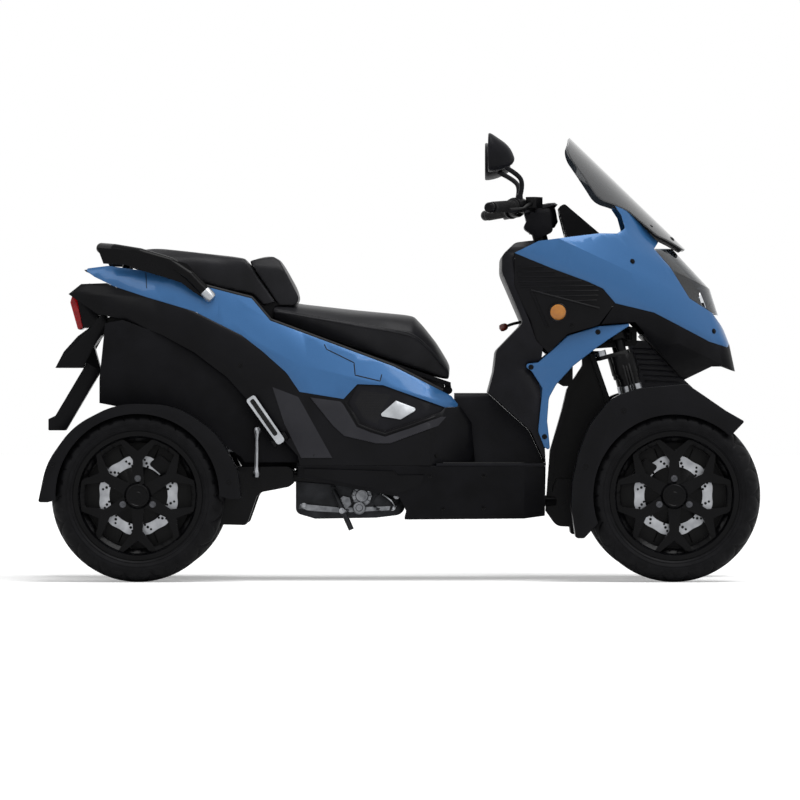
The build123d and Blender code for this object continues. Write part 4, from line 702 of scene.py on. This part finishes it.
# Handlebar. Black enamelled tube with ribbed rubber grips, black bar-end weights, levers and switch boxes,
# mirrors in dark grey shells and a shroud round the column's head, all turning with the column.
grip_rubber = toned(
    "soft grip rubber", 45.0, "0D0D0E", "1A1A1B", 800.0, 0.0005, Roughness=0.56, Specular_IOR_Level=0.18)
clothe(enamel, "handlebar", "bar_controls")
clothe(dark_grey, "bar_cover", "mirrors")
soften(0.0016, "bar_controls", "bar_cover")
column = pivot["steer"]
sleeves, weights, boxes = [], [], []
rib_count = 22
for sign in (1, -1):
    start = column + Vector((-0.032, sign * 0.205, 0.010))
    stop = column + Vector((-0.135, sign * 0.385, -0.003))
    run = stop - start
    long, way = run.length, run.normalized()
    base, tip_at = 0.30 * long, 0.93 * long
    pitch = (tip_at - base - 0.020) / rib_count
    profile = [(base, 0.0112), (base, 0.0215), (base + 0.004, 0.022), (base + 0.009, 0.022),
               (base + 0.011, 0.0172)]
    for k in range(rib_count):
        s = base + 0.014 + pitch * k
        profile += [(s + pitch * share, radius) for share, radius in (
            (0.0, 0.0158), (0.3, 0.0158), (0.4, 0.0171), (0.9, 0.0171))]
    profile += [(tip_at - 0.005, 0.0171), (tip_at, 0.0165), (tip_at, 0.0112), (base, 0.0112)]
    sleeves.append(turned(profile, start, way, 32))
    weight = [(tip_at + 0.001, 0.0), (tip_at + 0.001, 0.0145), (tip_at + 0.006, 0.0158),
              (long + 0.004, 0.0158), (long + 0.009, 0.013), (long + 0.0095, 0.005), (long + 0.008, 0.0)]
    weights.append(turned(weight, start, way, 32))
    box = [(share * long, radius) for share, radius in (
        (0.235, 0.0205), (0.235, 0.0235), (0.245, 0.0245), (0.285, 0.0245), (0.292, 0.0235),
        (0.292, 0.0115), (0.235, 0.0115))]
    boxes.append(turned(box + box[:1], start, way, 24))
made = piece("grip_sleeves", joined(*sleeves), grip_rubber, "steering")
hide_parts("grips")
piece("bar_weights", joined(*weights), cast_black, "steering")
piece("switch_boxes", joined(*boxes), satin, "steering")
silvered = toned(
    "silvered mirror glass", 10.0, "AEB4BA", "C6CBD0", 60.0, 0.00005, Metallic=1.0, Roughness=0.03)
wide, tall, deep = 0.088, 0.066, 0.078
corners = [Vector(c) for c in (
    (-wide + 0.012, -tall + 0.026), (wide - 0.022, -tall + 0.004), (wide, tall - 0.030),
    (wide - 0.040, tall), (-wide, tall - 0.020))]
rim = []
for i, here in enumerate(corners):
    a, b = here.lerp(corners[i - 1], 0.45), here.lerp(corners[(i + 1) % 5], 0.45)
    rim += [(1 - t) ** 2 * a + 2 * t * (1 - t) * here + t * t * b for t in (k / 8 for k in range(9))]
dome = [(0.004, 0.0), (0.004, 0.925), (-0.001, 0.94), (-0.002, 0.97), (0.002, 1.0)]
for t in (0.14, 0.3, 0.46, 0.62, 0.76, 0.88):
    dome.append((deep * t, 0.42 + 0.58 * math.cos(t * math.pi / 2) ** 0.8))
dome += [(deep * 0.96, 0.40), (deep * 0.99, 0.26), (deep, 0.0)]
shells, panes = [], []
for sign in (1, -1):
    head_at = column + Vector((-0.118 - 0.018, sign * 0.318, 0.157))
    points = []
    for d, size in dome:
        for p in rim:
            low = (tall - p.y * size) / (2 * tall)
            fill = 1.0 if d < 0.005 else 0.30 + 0.70 * math.sin(min(low * 1.35, 1.0) * math.pi / 2)
            points.append(head_at + Vector((d * fill, sign * p.x * size, p.y * size)))
    faces = wrapped(len(dome), len(rim))
    start = column + Vector((-0.032, sign * 0.205, 0.010))
    stem_foot = start.lerp(column + Vector((-0.135, sign * 0.385, -0.003)), 0.13) + Vector((0, 0, 0.014))
    elbow = stem_foot + Vector((0.004, sign * 0.012, 0.064))
    boot = [(0.0, 0.0), (0.0, 0.0115), (0.012, 0.0105), (0.020, 0.0088), (0.020, 0.0)]
    stem = eased([stem_foot, elbow, head_at + Vector((0.028, -sign * 0.030, -0.026))])
    shells += [(points, faces), tube(stem, 0.0072, 14), turned(boot, stem_foot, elbow - stem_foot, 24)]
    points, faces = plate("pane", [[tuple(p * 0.935) for p in rim]], -0.006, -0.0012)
    panes.append(([head_at + Vector((-w, sign * u, v)) for u, v, w in points], faces))
made = piece("mirror_shells", joined(*shells), dark_grey, "steering")
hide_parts("mirrors")
piece("mirror_panes", joined(*panes), silvered, "steering")
ahead = Vector((math.cos(rake), 0, math.sin(rake)))
tiers = (  # height along the column, and reach from it, drawn in where the display passes
    (-0.066, 0.050), (-0.052, 0.064), (-0.020, 0.0665), (-0.009, 0.0665), (-0.002, 0.077),
    (0.006, 0.070), (0.010, 0.050))
turns = [math.radians(-40 + 5 * k) for k in range(17)]
points = []
for height, reach in tiers:
    plan = [(reach * math.cos(t), reach * math.sin(t)) for t in turns]
    plan += [(-0.028, reach * 0.60), (-0.028, -reach * 0.60)]
    points += [column + lean * height + ahead * u + Vector((0, v, 0)) for u, v in plan]
n, last = len(plan), (len(tiers) - 1) * len(plan)
faces = wrapped(len(tiers), n) + [tuple(reversed(range(n))), tuple(range(last, last + n))]
piece("bar_shroud", (points, faces), dark_grey, "steering")

# Leg shield. A deep grey moulding, with black covers beside the column's foot, a ribbed liner under the
# nose, and the red knob of the lever that locks the leaning gear.
charcoal = toned(
    "charcoal moulded ABS", 10.0, "26262A", "303034", 400.0, 0.0003,
    Roughness=0.36, Specular_IOR_Level=0.12)
cover = ((548, 364.5), (575, 364.5), (575, 386), (566, 386), (556, 380), (550, 372))
covers = [slab("cover", traced(cover), 0.0015, sign * 0.045) for sign in (1, -1)]
piece("column_covers", joined(*covers), satin, "chassis")
liner = ((630, 339), (694, 343), (716, 366), (688, 379.5), (698, 389), (690, 398), (648, 398), (640, 376))
liner_half = 0.04
ribbed = [slab("liner", traced(liner), liner_half)]
for k in range(7):
    start = Vector((front_x - 0.112 + 0.006 * k, 0, 0.690 - 0.016 * k))
    stop = Vector((front_x + 0.040 - 0.002 * k, 0, 0.684 - 0.016 * k))
    for sign in (1, -1):
        out = Vector((0, sign * liner_half, 0))
        ribbed.append(tube([start + out, stop + out], 0.0035, 8))
piece("nose_liner", joined(*ribbed), charcoal, "chassis")
knob_red = toned("dark red phenolic", 80.0, "4A1A12", "6A281C", 500.0, 0.0003, Roughness=0.3)
stem = eased([(front_x + x, y, z) for x, y, z in (
    (-0.440, -0.105, 0.770), (-0.470, -0.106, 0.764), (-0.492, -0.106, 0.756))])
piece("lock_lever", tube(stem, 0.0045), enamel, "chassis")
knob = [(0.0, 0.0), (0.0, 0.007), (0.006, 0.0105), (0.016, 0.0115), (0.023, 0.009), (0.026, 0.0)]
knob_at, knob_way = (front_x - 0.488, -0.106, 0.7575), (-0.92, 0, -0.32)
piece("lock_knob", turned(knob, knob_at, knob_way), knob_red, "chassis")

# Tail. Blue panels that run down both sides of the seat, black covers below them, and at each side a dark
# vent with a silver insert and a perforated grille, whose holes are near-black dots of painted shade. Thin
# near-black lines of painted shade mark the seams in the blue panels. A rubber seal runs along the seat,
# webs stiffen the grab rail, and a red lamp and a curved visor close the end over the plate arm.
red_lens = toned(
    "red acrylic lens", 60.0, "8E0C13", "B8161D", 240.0, 0.0012,
    Roughness=0.12, Specular_IOR_Level=0.25, Coat_Weight=0.1)
silver = toned("silver painted ABS", 30.0, "A4A7AB", "C0C3C7", 900.0, 0.0002, Metallic=0.8, Roughness=0.32)
clothe(satin, "rear_covers", "tail_deck", "tail_fender")
clothe(dark_grey, "side_vents")
clothe(silver, "vent_inserts", "foot_peg_left", "foot_peg_right")
clothe(red_lens, "tail_lamp")
clothe(cast_black, "grab_rail")
soften(0.0025, "rear_covers", "tail_deck", "tail_fender", "tail_lamp")
soften(0.0012, "vent_inserts", "side_vents", "foot_peg_left", "foot_peg_right")
# The grille's holes are flat near-black dots on the vent face: painted shade in place of open holes.
grille = ((0.640, 0.530), (0.664, 0.484), (0.706, 0.466), (0.716, 0.500), (0.742, 0.552), (0.660, 0.566))
places = []
for sign in (1, -1):
    for i in range(24):
        for j in range(22):
            u, v = 0.636 + 0.0052 * i + 0.0026 * (j % 2), 0.462 + 0.0048 * j
            inside = False
            for (ax, az), (bx, bz) in zip(grille, grille[1:] + grille[:1]):
                if (az > v) != (bz > v) and u < (bx - ax) * (v - az) / (bz - az) + ax:
                    inside = not inside
            if inside:
                places.append(meet("side_vents", rear_x + u, v, sign))
hole_shade = toned("painted shade in holes and seams", 40.0, "020202", "050506", 400.0, 0.0003, Roughness=0.9)
set_out("vent_hole_shade", heads, places, "chassis", "black_plastic",
        Radius=0.0018, Height=0.0006, Sides=6, Material=hole_shade)
seams, beads, facets = [], [], []
# The seam lines are thin near-black tubes half sunk in the panel: painted shade where the grooves are.
seam_line = ((324, 344), (326.3, 349), (353.8, 362.5), (355, 375), (380, 381), (382, 373))
rear_seam = ((144.3, 272), (145.5, 291))
bead_line = ((345, 402), (358.5, 425), (372, 430.5), (385, 434.5), (412, 425.5), (440, 415))
facets_at = (
    ((272, 387), (298, 397), (332, 458), (301, 458), (284, 424)),
    ((310, 397.5), (333, 426), (344, 436), (376, 443.5), (390, 443.5), (438, 426), (446, 417),
     (441, 417), (412, 428), (385, 437), (371, 433), (356.5, 427), (343, 404.5), (340, 401.5)),
)
for sign in (1, -1):
    for node, line, radius, store in (
            ("tail_panel", seam_line, 0.0016, seams), ("tail_panel", rear_seam, 0.0011, seams),
            ("rear_covers", bead_line, 0.0032, beads)):
        spots = [Vector((x, 0, z)) for x, z in traced(line)]
        run = [a.lerp(b, k / 6) for a, b in zip(spots, spots[1:]) for k in range(6)]
        store.append(tube([meet(node, p.x, p.z, sign)[0] for p in run], radius, 8))
    for loop in facets_at:
        facets.append(panel_on("rear_covers", traced(loop), sign, 0.003))
piece("tail_seam_shade", joined(*seams), hole_shade, "chassis")
piece("cover_beads", joined(*beads), satin, "chassis")
piece("cover_facets", joined(*facets), charcoal, "chassis")
caps, rail_y = [], 0.188
cap_ring = [(-0.017, 0.0), (-0.017, 0.010), (-0.014, 0.0155), (-0.006, 0.0172), (0.016, 0.0172),
            (0.018, 0.016), (0.018, 0.0)]
for sign in (1, -1):
    at, way = Vector((rear_x + 0.205, sign * rail_y, 0.848)), Vector((-0.055, sign * 0.002, 0.057))
    caps.append(turned(cap_ring, at, way.normalized(), 32))
piece("rail_caps", joined(*caps), silver, "chassis")
web = ((96, 247), (134, 250), (186, 263), (212, 291), (203, 298), (192, 291), (180, 282), (163, 276.5),
       (137, 269), (124, 264), (102, 263))
webs = [slab("web", traced(web), 0.006, sign * rail_y) for sign in (1, -1)]
piece("rail_webs", joined(*webs), cast_black, "chassis")
edge_line = ((0.125, 0.8915), (0.332, 0.838), (0.388, 0.772), (0.544, 0.714), (0.754, 0.636),
             (0.918, 0.5526))
edge = [Vector((rear_x + x, 0, z)) for x, z in edge_line]
edge = [a.lerp(b, k / 8) for a, b in zip(edge, edge[1:]) for k in range(8)]
seals = []
for sign in (1, -1):
    inward = Vector((0, -sign * 0.008, 0.008))
    path = [meet("tail_panel", p.x, p.z - 0.006, sign)[0] + inward for p in edge]
    seals.append(tube(path, 0.0058))
piece("seat_seal", joined(*seals), hose, "chassis")
visor = ((51.4, 367.5), (60, 351), (74, 335.5), (91, 323), (104, 316.5), (118, 313.5), (134, 315),
         (128, 324), (112, 327), (98, 335), (88, 348), (79, 367.5))
piece("plate_visor", slab("visor", traced(visor), 0.07), satin, "chassis")
places = [meet("rear_covers", rear_x + x, z, sign) for sign in (1, -1) for x, z in (
    (0.520, 0.372), (0.880, 0.372), (0.300, 0.640))]
set_out("tail_screws", heads, places, "chassis", "black_metal",
        Radius=0.007, Height=0.003, Sides=20, Material=enamel)

# Height links and pegs. Plated rods with ball sockets tie the rear arms to the frame; each folding peg is a
# cast bar with a ribbed rubber pad let into its tread face.
peg_tilt, tread_y, link_y = math.radians(35), 0.256, 0.212
peg_up = Vector((-math.sin(peg_tilt), 0, math.cos(peg_tilt)))
peg_across = Vector((peg_up.z, 0, -peg_up.x))
rods = []
socket = [(-0.010, 0.0), (-0.010, 0.0075), (-0.004, 0.0105), (0.004, 0.0105), (0.010, 0.0078),
          (0.022, 0.0066), (0.022, 0.0)]
for sign in (1, -1):
    low = Vector((rear_x + 0.347, sign * link_y, 0.318))
    high = Vector((rear_x + 0.350, sign * link_y, 0.446))
    rods += [tube([low.lerp(high, 0.1), low.lerp(high, 0.9)], 0.0058, 16),
             turned(socket, low, high - low, 20), turned(socket, high, low - high, 20)]
piece("height_links", joined(*rods), bright_steel, "chassis")
points, faces = plate("pad", [rounded(0.014, 0.128, 0.005)], -0.002, 0.0016)
for side, sign in sides.items():
    hinge = pivot[f"peg_fold_{side}"]
    tread = Vector((hinge.x, sign * tread_y, hinge.z))
    ribs = []
    for k in range(9):
        at = tread + peg_up * (0.026 + 0.0135 * k)
        ribs.append(tube([at - peg_across * 0.0055, at + peg_across * 0.0055], 0.0034, 10))
    middle = tread + peg_up * 0.080
    pad = [middle + peg_across * u + peg_up * v + Vector((0, sign * w, 0)) for u, v, w in points], faces
    piece(f"peg_pad_{side}", joined(pad, *ribs), mat, f"peg_{side}")


# Saddle. Coated vinyl over moulded foam in three cushions: the rider's, a backrest and the pillion's. Foam
# pressure rounds each one; a piped seam with stitches runs along the edge of the top panel. A skirt closes
# the pan's side, and its front rests on a rubber buffer.
# The vinyl is a dark grey, lighter than black vinyl: a painted sheen standing in for the soft side light
# across the seat.
vinyl = toned(
    "coated vinyl with painted sheen", 10.0, "18181A", "232326", 520.0, 0.0007, Roughness=0.34, Specular_IOR_Level=0.1)
thread = toned("polyester thread", 90.0, "1C1C1E", "2E2E31", 1500.0, 0.0002, Roughness=0.7)


def stuffed(name, node, shrink, reach, rounding):
    """A cushion blown up from a slightly smaller copy of a CAD node, and held within a reach of it."""
    made = solid[node]
    bm = bmesh.new()
    bm.from_mesh(made.data)
    bm.transform(made.matrix_world)
    bmesh.ops.remove_doubles(bm, verts=bm.verts, dist=2e-5)
    bmesh.ops.recalc_face_normals(bm, faces=bm.faces)
    raw = bpy.data.meshes.new(name)
    bm.to_mesh(raw)
    bm.free()
    holder = bpy.data.objects.new(name, raw)
    bpy.context.scene.collection.objects.link(holder)
    even = holder.modifiers.new("even", "REMESH")
    even.mode, even.voxel_size, even.use_smooth_shade = "VOXEL", 0.006, True
    round_off = holder.modifiers.new("round off", "SMOOTH")
    round_off.factor, round_off.iterations = 0.5, rounding
    graph = bpy.context.evaluated_depsgraph_get()
    mesh = bpy.data.meshes.new_from_object(holder.evaluated_get(graph), depsgraph=graph)
    holder.modifiers.clear()
    for vertex, normal in zip(mesh.vertices, [n.vector.copy() for n in mesh.vertex_normals]):
        vertex.co -= normal * shrink
    holder.data = mesh
    rest = [v.co.copy() for v in mesh.vertices]
    ways = [n.vector.copy() for n in mesh.vertex_normals]
    foam = holder.modifiers.new("foam", "CLOTH")
    foam.settings.use_pressure, foam.settings.uniform_pressure_force = True, 4.0
    foam.settings.effector_weights.gravity = 0.0
    foam.settings.quality = 4
    foam.point_cache.frame_start, foam.point_cache.frame_end = 1, 20
    for number in range(1, 21):
        bpy.context.scene.frame_set(number)
    graph = bpy.context.evaluated_depsgraph_get()
    blown = [v.co.copy() for v in holder.evaluated_get(graph).data.vertices]
    bpy.context.scene.frame_set(1)
    holder.modifiers.clear()
    moves = []
    for start, stop, way in zip(rest, blown, ways):
        most, move = shrink if way.z < -0.3 else reach, stop - start
        moves.append(move * min(1.0, most / max(move.length, 1e-9)))
    pairs = [edge.vertices[:] for edge in mesh.edges]
    for _ in range(30):
        total, near = [Vector(move) for move in moves], [1] * len(moves)
        for a, b in pairs:
            total[a] += moves[b]
            total[b] += moves[a]
            near[a] += 1
            near[b] += 1
        moves = [whole / count for whole, count in zip(total, near)]
    for vertex, start, move in zip(mesh.vertices, rest, moves):
        vertex.co = start + move
    mesh.materials.clear()
    mesh.materials.append(vinyl)
    mesh.polygons.foreach_set("use_smooth", [True] * len(mesh.polygons))
    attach(holder, "saddle")
    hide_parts(node)
    return holder


stuffed("pillion_pad", "pillion_cushion", 0.004, 0.009, 10)
stuffed("back_pad", "backrest", 0.004, 0.009, 6)
rider_pad = stuffed("rider_pad", "rider_cushion", 0.004, 0.010, 16)
cover_mesh = rider_pad.data
skin = BVHTree.FromPolygons(
    [v.co for v in cover_mesh.vertices], [p.vertices[:] for p in cover_mesh.polygons])


def on_pad(x, z, sign):
    """Where a side of the rider's cushion lies, or None beside it."""
    return skin.ray_cast(Vector((x, sign * 0.5, z)), Vector((0, -sign, 0)))[0]


stitches = bpy.data.node_groups.new("stitches", "GeometryNodeTree")
for label, kind in (
        ("Geometry", "Geometry"), ("Thickness", "Float"), ("Length", "Float"), ("Material", "Material")):
    stitches.interface.new_socket(label, in_out="INPUT", socket_type=f"NodeSocket{kind}")
stitches.interface.new_socket("Geometry", in_out="OUTPUT", socket_type="NodeSocketGeometry")
given = put(stitches, "NodeGroupInput").outputs
stitch = put(stitches, "GeometryNodeMeshCylinder", {
    "Vertices": 8, "Radius": given["Thickness"], "Depth": given["Length"]})
lay(stitches, given, stitch.outputs["Mesh"])
seam = [(0.395, 0.800), (0.480, 0.786), (0.640, 0.758), (0.760, 0.738), (0.815, 0.722), (0.860, 0.684),
        (0.905, 0.632)]
pipes, places = [], []
for sign in (1, -1):
    path = []
    for point in eased([(rear_x + x, 0, z) for x, z in seam], 16):
        at = on_pad(point.x, point.z, sign)
        if at is not None:
            path.append(at)
    pipes.append(tube(path, 0.0026, 8))
    for a, b in zip(path, path[1:]):
        middle = (a + b) / 2
        at = on_pad(middle.x, middle.z + 0.008, sign)
        if at is not None:
            places.append((at + Vector((0, sign * 0.0004, 0)), b - a))
piece("seat_piping", joined(*pipes), vinyl, "saddle")
skirt = ((185, 274), (244, 284), (262, 289), (276, 302), (290, 304), (300, 312), (300, 325), (276, 320.5),
         (269, 317.5), (263, 311), (256, 304.5), (250, 297.5), (244, 295), (185, 279.5))
piece("pan_skirt", slab("skirt", traced(skirt), 0.10), vinyl, "saddle")
buffer = ((420, 375.3), (444.9, 383.5), (444.9, 387.2), (442, 387.6), (420, 380))
piece("pan_buffer", slab("buffer", traced(buffer), 0.05), hose, "chassis")
set_out("seat_stitches", stitches, places, "saddle", "vinyl",
        Thickness=0.0009, Length=0.0055, Material=thread)

# Studio. A pale paper floor under even daylight from above, two soft lamps on the camera's side, and a
# far camera level with the middle of the machine, as the photo was taken.
ground = bpy.data.meshes.new("floor")
ground.from_pydata([(-40, -40, 0), (40, -40, 0), (40, 40, 0), (-40, 40, 0)], [], [(0, 1, 2, 3)])
studio_floor = bpy.data.objects.new("studio_floor", ground)
bpy.context.scene.collection.objects.link(studio_floor)
paper, tree, shader, place = finish_named("white studio paper", Roughness=0.9)
speckle(tree, shader, place, 0.5, "FBFBFB", "FFFFFF", 30.0, 0.0002)
direct = put(tree, "ShaderNodeLightPath").outputs["Is Camera Ray"]
lifted = put(tree, "ShaderNodeMath", {0: direct, 1: 0.3}, operation="MULTIPLY")
shader.inputs["Emission Color"].default_value = (1, 1, 1, 1)
tree.links.new(lifted.outputs[0], shader.inputs["Emission Strength"])
ground.materials.append(paper)
world = bpy.data.worlds.new("studio")
bpy.context.scene.world = world
world.use_nodes = True
tree = world.node_tree
dim = tree.nodes["Background"]
dim.inputs["Color"].default_value, dim.inputs["Strength"].default_value = (1, 1, 1, 1), 0.2
white = put(tree, "ShaderNodeBackground", {"Color": (1, 1, 1, 1), "Strength": 1.0})
rays = put(tree, "ShaderNodeLightPath").outputs
seen = put(tree, "ShaderNodeMath", {
    0: rays["Is Camera Ray"], 1: rays["Is Transmission Ray"]}, operation="MAXIMUM")
seen = put(tree, "ShaderNodeMath", {0: seen.outputs[0], 1: rays["Is Glossy Ray"]}, operation="MAXIMUM")
mixed = put(tree, "ShaderNodeMixShader", {0: seen.outputs[0], 1: dim.outputs[0], 2: white.outputs[0]})
tree.links.new(mixed.outputs[0], tree.nodes["World Output"].inputs["Surface"])
sun = bpy.data.lights.new("overhead", "SUN")
sun.energy, sun.angle = 2.1, math.radians(40)
lamps = [(sun, (0.8, -0.9, 4.0))]
for name, at, power, size in (
        ("key", (2.2, -3.2, 3.6), 38.0, 1.6), ("side", (-3.2, -3.4, 3.0), 20.0, 1.6)):
    lamp = bpy.data.lights.new(name, "AREA")
    lamp.energy, lamp.size = power, size
    lamps.append((lamp, at))
for lamp, at in lamps:
    holder = bpy.data.objects.new(lamp.name, lamp)
    bpy.context.scene.collection.objects.link(holder)
    holder.location = at
    holder.rotation_euler = (Vector((0, 0, 0.6)) - Vector(at)).to_track_quat("-Z", "Y").to_euler()
camera = bpy.data.cameras.new("camera")
distance, span = 18.0, 2.36
camera.sensor_width, camera.lens, camera.clip_end = 36.0, 36.0 * distance / span, 100.0
eye = bpy.data.objects.new("camera", camera)
bpy.context.scene.collection.objects.link(eye)
eye.location = (front_x - 0.8077, -wheel_y - distance, 0.5369)
eye.rotation_euler = (math.radians(90), 0, 0)
bpy.context.scene.camera = eye
bpy.context.scene.view_settings.view_transform = "Standard"
